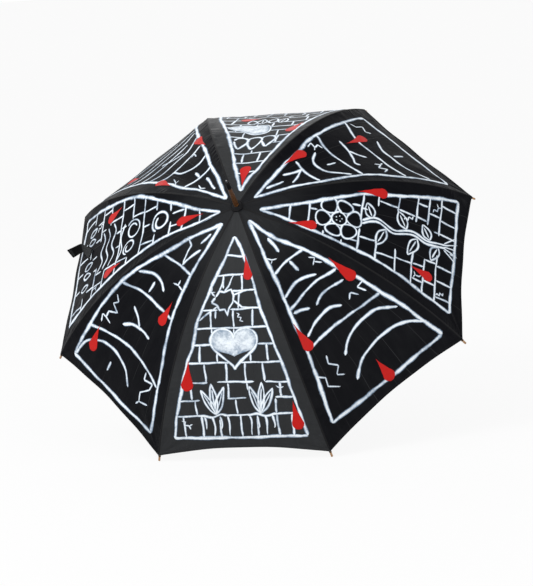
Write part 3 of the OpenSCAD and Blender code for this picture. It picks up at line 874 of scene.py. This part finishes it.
def brick_wall(painting, border, courses, shapes=()):
    for row, v in enumerate(courses):
        tilt = hand.uniform(-3, 3)
        course = [(border.side(-1, v), v + tilt), (0.0, v + hand.uniform(-2, 2)),
                  (border.side(1, v), v - tilt)]
        for part in free_parts(course, shapes):
            painting.line(part[::6] + [part[-1]], brick_width)
        if row + 1 < len(courses):
            low = courses[row + 1]
            left, right = border.side(-1, (v + low) / 2), border.side(1, (v + low) / 2)
            bricks = max(1, round((right - left) / brick_length))
            shift = 0.5 if row % 2 else 0.0
            for n in range(bricks + 1):
                u = left + (right - left) * (n + shift + hand.uniform(-0.12, 0.12)) / bricks
                if left + brick_margin < u < right - brick_margin:
                    joint = [(u, v + 1), (u + hand.uniform(-2.5, 2.5), low - 1)]
                    for part in free_parts(joint, shapes):
                        painting.line(part, brick_width)


crack_shapes = {
    "zigzag": [[(0, 0), (9, 4), (2, 13), (15, 15), (10, 26), (21, 29)]],
    "fork": [[(0, 0), (10, 7), (21, 3)], [(10, 7), (9, 20), (16, 27)]],
    "branch": [[(0, 0), (12, 3), (8, 14), (22, 17), (26, 29)], [(22, 17), (33, 12)]],
}


def cracks(painting, lines, width=crack_width, wobble=0.4):
    for line in lines:
        painting.line(line, width, round_corners=False, wobble=wobble)


def crack(painting, kind, u, v, size):
    cracks(painting, [[(u + size * x, v + size * y) for x, y in line]
                      for line in crack_shapes[kind]], wobble=0.3)


def arc_gore(k, left, right, arcs, splits, width=crack_width):
    """Paints a border, its arcs and then its cracks, and returns the painting."""
    Border(art[k], left, right)
    for row in arcs:
        art[k].line(row, arc_width)
    cracks(art[k], splits, width)
    return art[k]


def wall_gore(k, left, right, courses, shapes, width=border_width):
    """Paints a border and a wall of bricks behind some shapes, and returns the painting."""
    brick_wall(art[k], Border(art[k], left, right, width), courses, shapes)
    return art[k]


def hang_drops(k, *drops):
    for drop in drops:
        art[k].drop(*drop)
    print(f"gore {k}:", art[k].strokes, "strokes")


print("patterns ready")

# %% Plain shapes
def ring_of(u, v, radius, count=14):
    return [(u + radius * cos(2 * pi * i / count), v + radius * sin(2 * pi * i / count))
            for i in range(count + 1)]


def curl(painting, u, v, radius, start=0.0, width=arc_width):
    """An open curl of a turn and a third that stays clear of its own middle."""
    count, turns = 16, 1.33
    turn = [(1 - 0.5 * i / count, start + 2 * pi * turns * i / count) for i in range(count + 1)]
    painting.line([(u + radius * r * cos(a), v + radius * r * sin(a)) for r, a in turn], width)


def leaf(painting, base, tip, width, vein=True):
    base, tip = np.array(base, float), np.array(tip, float)
    along = tip - base
    across = np.array([-along[1], along[0]]) / np.linalg.norm(along) * width
    for way in (-1, 1):
        painting.line([base, base + along * 0.3 + across * way * 0.85,
                       base + along * 0.65 + across * way * 0.75, tip], brick_width)
    if vein:
        painting.line([base + along * 0.15, base + along * 0.8], crack_width)


def petal(painting, centre, angle, inner, outer, width):
    """A closed oval that points away from the middle of a flower."""
    along = np.array([cos(angle), sin(angle)])
    over = np.array([-along[1], along[0]])
    middle, half = (inner + outer) / 2, (outer - inner) / 2
    painting.line([np.array(centre) + along * (middle - half * cos(a))
                   + over * width * sin(a) * (1.15 - 0.25 * cos(a))
                   for a in np.linspace(0.0, 2 * pi, 15)], brick_width)


def heart_outline(u, v, width, height, count=40):
    """A heart with its point towards the hem."""
    turn = [2 * pi * i / count for i in range(count)]
    return [(u + width / 2 * sin(a) ** 3,
             v - height / 2 * (13 * cos(a) - 5 * cos(2 * a) - 2 * cos(3 * a) - cos(4 * a)) / 14.5)
            for a in turn]


print("plain shapes ready")

# %% [markdown]
# The eight gores follow, each as one short description in millimetres on its pattern. The
# numbers are where a painter would set the brush down. Gores 1, 3, 5 and 7 are the walls,
# and gores 2, 4, 6 and 8 have the arcs.

# %% Gore 5: bricks, a hole in them, a heart over leaves, and drips
heart = (0, 331, 104, 96)
pale_heart = heart_outline(*heart)
front_shapes = [pale_heart, oval(-52, 455, 30, 44), oval(52, 455, 30, 44), oval(-20, 225, 26, 26)]
g = wall_gore(5,
              [(0, 72), (-15, 116), (-35, 164), (-52, 208), (-76, 268), (-89, 326), (-103, 362),
               (-122, 430), (-137, 487), (-148, 541)],
              [(1, 72), (24, 123), (42, 176), (61, 246), (77, 294), (94, 342), (107, 381),
               (118, 422), (130, 466), (148, 541)],
              [120, 166, 205, 247, 290, 328, 369, 415, 453, 489, 541], front_shapes, 6.0)
g.fill([(u, v if v < 340 else 340 + (v - 340) * 0.35) for u, v in pale_heart], "white", 0.1, 7, 0.70)
g.line([*pale_heart, pale_heart[0]], 5.5)
hole = [(-38, 218), (-30, 203), (-19, 207), (-4, 201), (2, 214), (0, 230), (-8, 244), (-12, 262),
        (-18, 246), (-30, 248), (-35, 236), (-46, 230)]
g.line([*hole, hole[0]], brick_width, round_corners=False)
for split in ([(-19, 205), (-8, 190), (2, 165)], [(2, 214), (22, 205), (43, 202)],
              [(2, 226), (20, 243), (60, 246)], [(-35, 240), (-52, 252), (-74, 272)],
              [(-38, 248), (-39, 268)], [(-40, 216), (-48, 205), (-44, 196)],
              [(-30, 203), (-24, 186), (-20, 168)]):
    g.line(split, brick_width, round_corners=False, taper=0.3)
for base_u, lean in ((-50, -1), (50, 1)):
    for tip in ((-22 * lean, 424), (6 * lean, 416), (30 * lean, 430)):
        leaf(g, (base_u, 488), (base_u + tip[0], tip[1]), 8)
    for n in range(4):
        drip = base_u - 26 + n * 17
        g.line([(drip, 492), (drip + 3, 506 + 9 * (n % 2)),
                (drip + 1, 522 + 16 * ((n + (lean > 0)) % 2))],
               5.0, taper=0.5)
g.line([(-82, 488), (-60, 494), (-40, 487), (-20, 493)], 5.0)
g.line([(20, 492), (40, 487), (60, 494), (84, 488)], 5.0)
crack(g, "zigzag", -112, 384, 0.75)
crack(g, "fork", 88, 425, 0.8)
crack(g, "branch", -128, 500, 0.7)
crack(g, "zigzag", 8, 256, 0.7)
hang_drops(5, ((25, 117), (33, 168), 10.5), ((-102, 361), (-108, 416)), ((122, 459), (129, 512)))

# %% Gore 4: arcs and cracks
g = arc_gore(4,
             [(-4, 42), (-22, 100), (-37, 143), (-50, 196), (-66, 244), (-74, 275), (-84, 308),
              (-98, 366), (-122, 439), (-151, 534)],
             [(-4, 42), (9, 118), (38, 181), (61, 246), (84, 306), (106, 372), (125, 425),
              (143, 486), (160, 540)],
             [[(-46, 188), (-4, 180), (38, 183)], [(-63, 246), (-32, 234), (-4, 236), (24, 249)],
              [(-74, 275), (4, 261), (64, 268)], [(-20, 304), (11, 291), (61, 298)],
              [(-80, 347), (-41, 331), (-3, 328), (23, 341)],
              [(-71, 286), (-52, 290), (-35, 300)],
              [(-96, 372), (-40, 366), (7, 368), (104, 374)],
              [(-40, 434), (-19, 415), (18, 398), (71, 397), (116, 424)],
              [(-51, 494), (-14, 465), (40, 452), (104, 460), (148, 492)],
              [(-2, 108), (-3, 130), (-5, 152)]],
             ([(-36, 145), (-28, 157), (-18, 161)], [(-28, 157), (-36, 163)],
              [(35, 206), (44, 216), (31, 228)], [(38, 222), (50, 236)],
              [(92, 328), (73, 331), (84, 351)], [(66, 347), (54, 331), (43, 342)],
              [(-73, 406), (-81, 423), (-65, 441), (-80, 455), (-66, 466)],
              [(-119, 430), (-104, 444), (-111, 463), (-90, 481)]))
g.line([(-1, 184), (0, 216)], arc_width)
hang_drops(4, ((67, 236), (78, 299)), ((-86, 302), (-91, 361)), ((8, 483), (11, 532)))

# %% Gore 3: bricks and a daisy
daisy = (-2, 236)
front_shapes = [oval(-2, 236, 52, 54), oval(10, 326, 44, 30), oval(10, 386, 48, 40),
                oval(8, 450, 46, 42), oval(12, 500, 26, 26)]
g = wall_gore(3,
              [(-7, 48), (-30, 121), (-52, 193), (-75, 284), (-86, 332), (-106, 396), (-128, 458),
               (-147, 535)],
              [(-7, 48), (12, 118), (36, 192), (71, 279), (88, 338), (104, 397), (130, 468),
               (152, 539)],
              [119, 163, 200, 244, 287, 329, 380, 426, 457, 491, 538], front_shapes)
for n in range(6):
    petal(g, daisy, 2 * pi * n / 6 + 0.35, 19, 56 if n % 3 else 48, 17)
g.line(ring_of(*daisy, 18), brick_width)
for n in range(5):
    a = 2 * pi * n / 5
    g.line([(daisy[0] + 6 * cos(a), daisy[1] + 6 * sin(a)),
            (daisy[0] + 9 * cos(a + 0.3), daisy[1] + 9 * sin(a + 0.3))],
           crack_width)
g.line([(0, 292), (16, 330), (-2, 372), (12, 420), (4, 462), (14, 512)], 5.2)
g.line([(9, 292), (25, 330), (7, 374), (21, 420), (12, 462), (22, 512)], 5.2)
for base, tip in (((20, 318), (56, 300)), ((2, 352), (-46, 330)), ((20, 404), (60, 380)),
                  ((6, 434), (-44, 412)), ((16, 468), (50, 446)), ((8, 492), (-34, 474))):
    leaf(g, base, tip, 13)
for n in range(5):
    g.line([(8 + 4 * n, 508), (-14 + 17 * n, 542 + 4 * (n % 2))], brick_width, taper=0.4)
crack(g, "zigzag", 44, 396, 0.8)
crack(g, "fork", -96, 430, 0.8)
crack(g, "branch", 92, 470, 0.8)
crack(g, "zigzag", -118, 494, 0.7)
hang_drops(3, ((76, 271), (89, 333)), ((-37, 118), (-34, 171)), ((-68, 420), (-79, 467)))

# %% Gore 6: arcs and cracks
arc_gore(6,
         [(8, 46), (-14, 92), (-32, 131), (-56, 194), (-90, 265), (-116, 352), (-131, 445),
          (-146, 545)],
         [(8, 46), (22, 112), (35, 185), (45, 228), (63, 295), (81, 341), (104, 393), (130, 470),
          (150, 549)],
         [[(-56, 194), (-12, 187), (35, 186)], [(-82, 264), (-49, 245), (-20, 245), (2, 260)],
          [(-103, 311), (-46, 296), (17, 294), (62, 296)],
          [(-49, 390), (-22, 373), (12, 367), (37, 370)], [(-45, 336), (-23, 350), (-4, 366)],
          [(-130, 450), (-61, 429), (0, 421), (60, 427), (118, 446)],
          [(-142, 540), (-125, 493), (-81, 463), (-34, 456), (12, 472), (40, 503)],
          [(-33, 257), (-32, 286)], [(-36, 512), (-34, 486)], [(2, 116), (5, 82)],
          [(13, 126), (5, 153), (0, 182)]],
         ([(-105, 423), (-111, 405), (-98, 406), (-80, 411)],
          [(-98, 406), (-98, 390), (-76, 378), (-97, 366), (-86, 355), (-99, 342)],
          [(11, 228), (24, 224), (22, 211)], [(24, 224), (42, 227)],
          [(-35, 124), (-14, 133), (-12, 148), (-2, 178)],
          [(72, 437), (76, 455), (103, 448), (101, 465), (80, 487), (86, 508), (112, 500)],
          [(86, 508), (78, 520)]),
         crack_width + 0.6)
hang_drops(6, ((38, 262), (42, 311)), ((-104, 434), (-101, 487)))

# %% Gore 7: bricks and curls
front_shapes = [oval(-8, 205, 32, 34), oval(4, 302, 50, 40), oval(-6, 402, 60, 40),
                oval(40, 480, 52, 30), oval(-72, 480, 32, 30)]
g = wall_gore(7,
              [(11, 33), (-8, 92), (-42, 167), (-82, 250), (-104, 302), (-122, 392), (-136, 460),
               (-149, 536)],
              [(11, 33), (32, 94), (42, 174), (62, 248), (84, 323), (110, 410), (143, 540)],
              [89, 133, 174, 218, 262, 303, 344, 393, 433, 478, 538], front_shapes)
curl(g, -8, 205, 28, 0.4)
curl(g, -18, 298, 26, 2.2, brick_width)
curl(g, 28, 304, 21, 0.2, brick_width)
g.line([(-44, 330), (-10, 342), (22, 334), (50, 342)], brick_width)
g.line([(-66, 380), (-40, 366), (-10, 380), (20, 366), (50, 380)], brick_width)
g.line([(-62, 402), (-36, 390), (-8, 402), (22, 390), (48, 404)], brick_width)
g.line([(-60, 424), (-34, 412), (-6, 424), (24, 412), (50, 428)], brick_width)
for cu, lean in ((-84, -8), (-64, 4), (8, -6), (28, 6), (66, 0)):
    leaf(g, (cu, 500), (cu + lean, 462), 9, False)
crack(g, "zigzag", -96, 430, 0.9)
crack(g, "fork", 84, 410, 0.9)
hang_drops(7, ((-100, 352), (-88, 396)), ((6, 78), (13, 137)), ((64, 320), (73, 372)))

# %% Gore 8: arcs and cracks
arc_gore(8, [(2, 33), (-23, 107), (-41, 174), (-72, 268), (-90, 335), (-112, 412), (-149, 541)],
         [(2, 33), (23, 116), (42, 172), (50, 228), (70, 324), (101, 413), (150, 541)],
         [[(38, 171), (9, 166), (-19, 164), (-39, 171)],
          [(18, 275), (11, 241), (-12, 222), (-35, 220), (-56, 231)],
          [(61, 282), (33, 273), (-9, 276), (-52, 290), (-74, 298)],
          [(68, 323), (34, 314), (-6, 318), (-49, 329), (-94, 366)],
          [(12, 370), (-10, 347), (-40, 336)], [(82, 356), (38, 352), (-13, 358), (-68, 375)],
          [(98, 408), (60, 392), (-10, 392), (-70, 402), (-108, 424)],
          [(104, 440), (40, 424), (-38, 428), (-120, 458)], [(60, 476), (0, 462), (-70, 472)],
          [(-7, 194), (-2, 166)], [(-11, 144), (0, 87)]],
         ([(33, 241), (39, 216), (30, 217)], [(39, 216), (46, 206)],
          [(14, 142), (18, 124), (11, 113)], [(18, 124), (26, 122)],
          [(-36, 277), (-48, 284), (-44, 263)], [(-48, 284), (-58, 290)]))
hang_drops(8, ((-80, 273), (-86, 338)), ((53, 216), (58, 266)), ((60, 421), (72, 462)))

# %% Gore 1: bricks and a cloud
cloud = [(84, 346), (66, 364), (46, 370), (26, 364), (8, 366), (-10, 360), (-20, 334), (-16, 306),
         (8, 298), (30, 310), (50, 326), (68, 332)]
front_shapes = [oval(2, 250, 44, 42), cloud, oval(0, 408, 58, 28), oval(4, 452, 54, 20)]
g = wall_gore(1,
              [(-2, 42), (-13, 83), (-29, 117), (-39, 148), (-52, 189), (-64, 234), (-76, 275),
               (-94, 342), (-119, 420), (-150, 541)],
              [(-2, 42), (9, 76), (22, 123), (31, 157), (42, 195), (54, 238), (75, 303),
               (97, 366), (121, 434), (150, 541)],
              [108, 149, 191, 240, 281, 318, 350, 384, 427, 465, 503, 541], front_shapes)
for cu, cv, wide, tall in ((-28, 252, 14, 30), (3, 246, 15, 32), (34, 246, 14, 31)):
    g.line([(cu + wide * cos(a) + 5 * sin(2 * a), cv + tall * sin(a))
            for a in np.linspace(0.5, 2 * pi + 0.3, 13)], arc_width)
g.fill(cloud, "white", 0.1, 6, 0.72)
g.line([*cloud, cloud[0]], brick_width)
for n, (cu, cv) in enumerate(((-40, 396), (-14, 404), (16, 406), (42, 398))):
    leaf(g, (cu * 0.8, 380), (cu, cv + 26), 12, n % 2 == 0)
g.line([(-52, 446), (-34, 458), (-10, 448), (14, 460), (40, 448), (60, 458)], brick_width)
hang_drops(1, ((-3, 56), (-1, 120)), ((-93, 362), (-72, 314)), ((26, 446), (56, 432)))

# %% Gore 2: arcs and cracks
arc_gore(2, [(-8, 38), (-39, 132), (-66, 214), (-87, 314), (-121, 408), (-152, 530)],
         [(-8, 38), (1, 68), (16, 114), (28, 149), (41, 188), (56, 231), (73, 270), (86, 312),
          (102, 374), (118, 440), (134, 515)],
         [[(28, 194), (4, 190), (-26, 189), (-57, 195)], [(8, 137), (1, 163), (0, 188)],
          [(-26, 138), (-16, 160), (2, 190)], [(-3, 78), (-9, 126)],
          [(33, 259), (15, 236), (-9, 229), (-40, 237), (-72, 280)],
          [(82, 306), (34, 294), (-12, 297), (-48, 300), (-82, 306)],
          [(49, 350), (19, 347), (-14, 337), (-36, 324), (-48, 330)],
          [(11, 347), (-8, 358), (-24, 374)],
          [(112, 428), (62, 408), (34, 403), (-15, 405), (-72, 404), (-118, 414)],
          [(34, 466), (0, 447), (-33, 444), (-85, 448), (-134, 482)], [(-14, 254), (-16, 280)],
          [(-34, 456), (-34, 490)]],
         ([(56, 255), (65, 272), (47, 270), (54, 284), (39, 287)], [(47, 270), (40, 262)],
          [(-54, 369), (-61, 384), (-71, 368), (-82, 386), (-91, 368)], [(-61, 384), (-56, 394)],
          [(107, 440), (92, 447), (93, 471), (73, 462), (66, 476)]),
         crack_width + 0.4)
hang_drops(2, ((33, 160), (43, 222)), ((36, 360), (46, 424)))

# %% [markdown]
# With every gore drawn, the paint is cut in halves and laid on the cloth. Each painted
# piece hangs on the same rib as the half sheet under it, so the paint moves with the cloth.

# %% Lay the paint on the cloth
painted = 0
for k, painting in art.items():
    for colour, material in (("white", white_paint), ("red", red_paint)):
        for half in half_spans:
            piece = paint_half(k, half, colour, painting.faces[colour], material)
            if piece is not None:
                folds_with(piece, rib_of(k, half))
                painted += len(piece.data.polygons)
print("painted faces:", painted)

# %% [markdown]
# ## The strap
#
# The closing strap is a short length of webbing. It lies on the outside of the cloth,
# bends over and sticks out past the hem; where it is sewn on can't be seen. It is woven of coarse
# black yarn; it is drawn grey on the part that lies on the cloth and near-black from the bend
# on, and its end is folded under and stitched across. Its two edges are curves through the same six
# places as in the model, and the ribs of the weave are raised threads.

# %% Strap
strap_edges = np.array([[[-68, -38, 73], [-15, 0, 34], [19, -18, 25]],
                        [[-64, -60, 64], [-26, -20, 31], [3, -28, 11]]]) * MM
strap_thickness, strap_steps, strap_columns = 1.4 * MM, 64, 12
label_length, label_width = 0.125, 0.024
strap_root = taut_cloth(7, 0.73, 1.0)
strap_turn = atan2(strap_root[1], strap_root[0])


def bent(edge, share):
    """A path through the three places of one edge, straight but for a rounded bend."""
    a, m, c = edge
    share, turn = np.asarray(share)[..., None], 0.09
    straight = np.where(share < 0.5, a + (m - a) * share * 2, m + (c - m) * (share * 2 - 1))
    near = np.clip(1 - abs(share - 0.5) / turn, 0, 1) ** 2
    return straight + ((a - m) + (c - m)) * 0.5 * turn * near


along, across = grid_of(strap_steps + 1, 0, 1, strap_columns + 1, 0, 1)
middle = (bent(strap_edges[0], along) * (1 - across[:, None])
          + bent(strap_edges[1], along) * across[:, None])
middle = middle * [1, -1, 1]
middle = round_shaft(strap_turn, *middle.T) + strap_root
net = middle.reshape(strap_steps + 1, strap_columns + 1, 3)
out = unit(np.cross(np.gradient(net, axis=0), np.gradient(net, axis=1)).reshape(-1, 3))
out *= np.sign(out[:, 2:3].mean())
yarn = 0.12 * MM * np.sin(across * pi * strap_columns) ** 2
doubled = np.clip((along - 0.80) / 0.03, 0, 1)[:, None]
sewn = sum(np.exp(-((along - row) / 0.008) ** 2) for row in (0.835, 0.965)) * 0.35 * MM
edge_round = np.sqrt(np.clip(1 - (2 * abs(across - 0.5)) ** 6, 0.1, 1))[:, None]
half_thickness = strap_thickness * (0.5 + 0.45 * doubled) * edge_round
top = middle + out * (half_thickness + (yarn - sewn)[:, None])
under = middle - out * (half_thickness - sewn[:, None])
layer = len(middle)
sheet_faces = grid_faces(strap_steps + 1, strap_columns + 1)
corner = np.arange(layer).reshape(strap_steps + 1, strap_columns + 1)
rim = np.concatenate([corner[:, 0], corner[-1, 1:], corner[-2::-1, -1], corner[0, -2:0:-1]]).tolist()
faces = [tuple(reversed(f)) for f in sheet_faces]
faces += [tuple(i + layer for i in f) for f in sheet_faces]
faces += [(a, b, b + layer, a + layer) for a, b in zip(rim, [*rim[1:], rim[0]])]

f = Finish("strap_webbing_two_tone")
run = f.stored("run")
picks = f.add("ShaderNodeTexWave", {"wave_type": "BANDS", "bands_direction": "X"},
              {"Vector": run, "Scale": 420.0, "Distortion": 0.6}, output="Fac")
fuzz = f.noise(run, 300.0, 4.0)
along_strap = f.add("ShaderNodeSeparateXYZ", None, {"Vector": run})
# Greyer on the part that lies on the cloth, near-black from the bend on.
grey_before_bend = along_strap.between(0.058, 0.066, 1.0, 0.0)
end_band = along_strap.between(0.108, 0.111) * along_strap.between(0.118, 0.121, 1.0, 0.0)
yarns = f.mix((picks * 0.5 + fuzz * 0.6).between(0.2, 0.9),
              (0.006, 0.006, 0.007), (0.052, 0.055, 0.057))
strap_finish = f.surface(
    Base_Color=f.mix(grey_before_bend * 0.85 + end_band * 0.5, (0.0012, 0.0012, 0.0015), yarns),
    Roughness=0.7, Specular_IOR_Level=0.08, Normal=f.bump(picks * 0.7 + fuzz * 0.3, 0.0005, 0.7))
run_values = np.tile(np.column_stack([along * label_length, across * label_width, along * 0]), (2, 1))
strap = make_piece("closing_strap", laid_down(np.vstack([top, under])), faces, strap_finish,
                   None, {"run": run_values})
folds_with(strap, 8)
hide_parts("strap")
strap_width = float(np.linalg.norm(net[:, 0] - net[:, -1], axis=1).mean())

# %% [markdown]
# ## Finishes of the solid parts
#
# The steel, wood and moulded parts are the model's own bodies, and only their finish is
# made here. The ribs and stretchers are black enamelled steel that has worn brighter where
# fingers and cloth rub. Rings, pins and catches are drawn steel wire, the collar is thin
# brass, and the crown cup, notch and runner are moulded black plastic.

# %% Metal and plastic
def solid_finish(name, low, high, rough, metal=0.0, grain=40.0, stretch=(1.0, 1.0, 1.0), depth=0.0002,
                 coat=0.0, shine=0.5):
    """Two close colours mixed by streaks along the grain, with wear in the roughness."""
    f = Finish(name)
    place = f.stretched(f.where(), stretch)
    streaks = f.noise(place, grain, 5.0)
    smudges = f.noise(f.where(), 14.0, 3.0)
    fine = f.noise(place, grain * 9, 2.0)
    return f.surface(
        Base_Color=f.mix((streaks * 0.7 + smudges * 0.3).between(0.25, 0.75), low, high),
        Metallic=metal,
        Roughness=(smudges * 0.6 + fine * 0.4).between(0.2, 0.8, rough * 0.8, rough * 1.25),
        Coat_Weight=coat, Specular_IOR_Level=shine,
        Normal=f.bump(streaks * 0.6 + fine * 0.4, depth, 0.6))


slot_finish = {
    "frame_steel": solid_finish("enamelled_steel", (0.010, 0.010, 0.011), (0.035, 0.035, 0.038), 0.38),
    "steel": solid_finish("drawn_steel", (0.42, 0.42, 0.43), (0.58, 0.58, 0.60), 0.3, 1.0, 60.0),
    "collar_metal": solid_finish("thin_brass", (0.50, 0.35, 0.13), (0.72, 0.54, 0.24), 0.28, 1.0, 60.0),
    "black_plastic": solid_finish("moulded_black", (0.003, 0.003, 0.004),
                                  (0.008, 0.008, 0.009), 0.5, shine=0.1),
    "black_cap": solid_finish("painted_black", (0.003, 0.003, 0.004),
                              (0.007, 0.007, 0.008), 0.4, shine=0.12),
    "tip_wood": solid_finish("tip_wood_lacquered", (0.30, 0.15, 0.06),
                             (0.52, 0.30, 0.13), 0.4, 0.0, 90.0, (1.0, 1.0, 0.25),
                             coat=0.3),
}
print("solid finishes:", ", ".join(slot_finish))

# %% [markdown]
# The shaft, the handle and the ferrule are one kind of varnished hardwood. Its grain runs
# with the rod, so the noise is drawn out along the shaft's lean, with darker pores, a worn
# lighter patch here and there, and a clear coat. The ferrule's copy is much darker, and that
# darkness is painted shade for the ferrule's shaded side.

# %% Varnished wood
def varnished_wood(name, dark, light, coat):
    f = Finish(name)
    lean = atan2(float(shaft_up[1]), float(shaft_up[2]))
    rod = f.stretched(f.where(), (1.0, 1.0, 0.06), (lean, 0.0, 0.0))
    rings = f.noise(rod, 320.0, 4.0)
    pores = f.noise(rod, 1500.0, 2.0)
    tone = f.noise(f.where(), 16.0, 3.0)
    grain = rings * 0.55 + pores * 0.25 + tone * 0.3
    return f.surface(Base_Color=f.mix(grain.between(0.38, 0.68), dark, light),
                     Roughness=tone.between(0.3, 0.7, 0.3, 0.48), Coat_Weight=coat, Coat_Roughness=0.2,
                     Normal=f.bump(rings * 0.4 + pores * 0.6, 0.0003, 0.5))


slot_finish["shaft_wood"] = varnished_wood("shaft_varnished", (0.060, 0.022, 0.008),
                                           (0.21, 0.095, 0.036), 0.5)
slot_finish["handle_wood"] = varnished_wood("handle_varnished", (0.075, 0.027, 0.010),
                                            (0.25, 0.115, 0.045), 0.7)
# Painted shade: the ferrule's copy of the wood is much darker, standing for its shaded side, and its
# thin coat is worn varnish.
slot_finish["ferrule_wood"] = varnished_wood("ferrule_worn_and_shaded", (0.036, 0.013, 0.003),
                                             (0.14, 0.055, 0.016), 0.1)
print("woods:", [n for n in slot_finish if n.endswith("wood")])

# %% Hand out the finishes
node_slot = {"shaft": "shaft_wood", "handle": "handle_wood", "handle_collar": "collar_metal",
             "ferrule": "ferrule_wood", "ferrule_cap": "black_cap", "crown_cup": "black_plastic",
             "crown_notch": "black_plastic", "runner": "black_plastic"}
for name in ("ferrule_nib", "crown_ring", "notch_pin", "stop_pin", "catch_pins", "runner_ring",
             "top_catch", "bottom_catch"):
    node_slot[name] = "steel"
for k in range(1, RIBS + 1):
    node_slot.update({f"rib_{k}": "frame_steel", f"rib_clip_{k}": "frame_steel",
                      f"stretcher_{k}": "frame_steel", f"rib_tip_{k}": "tip_wood"})
for name, slot in node_slot.items():
    body = frame["nodes"][name]
    if not body.material_slots:
        body.data.materials.append(slot_finish[slot])
    for place in body.material_slots:
        place.material = slot_finish[slot]
print("finished bodies:", len(node_slot))

# %% [markdown]
# ## Thread ties
#
# Each corner of the canopy is sewn to its rib's end cap with a few turns of black thread.
# They are small rings of thread that sit round the cap just outside the hem.

# %% Ties at the corners
turns, around, thread_sides = 3, 40, 6
thick, tip_radius, tie_start, tie_pitch = 0.32 * MM, 2.4 * MM, 1.2 * MM, 0.75 * MM


def tie(k):
    a = rib_azimuth(k)
    out, up = np.array([cos(a), sin(a), 0.0]), np.array([0, 0, 1.0])
    tangent = out * cos(rim_slope) - up * sin(rim_slope)
    normal = out * sin(rim_slope) + up * cos(rim_slope)
    sideways = np.cross(tangent, normal)
    start = out * (arc_x + rib_arc * sin(rim_slope)) + up * (arc_z + rib_arc * cos(rim_slope))
    points = []
    for i in range(turns * around + 1):
        angle = 2 * pi * i / around
        radial = normal * cos(angle) + sideways * sin(angle)
        centre = (start + tangent * (tie_start + i / around * tie_pitch)
                  + radial * (tip_radius + thick * 0.8))
        points += [centre + thick * (radial * cos(b) + tangent * sin(b))
                   for b in np.linspace(0, 2 * pi, thread_sides + 1)[:-1]]
    on_rib(make_piece(f"corner_tie_{k}", laid_down(points),
                      grid_faces(turns * around + 1, thread_sides, True), thread_finish), k)


for k in range(1, RIBS + 1):
    tie(k)
print("ties:", RIBS)
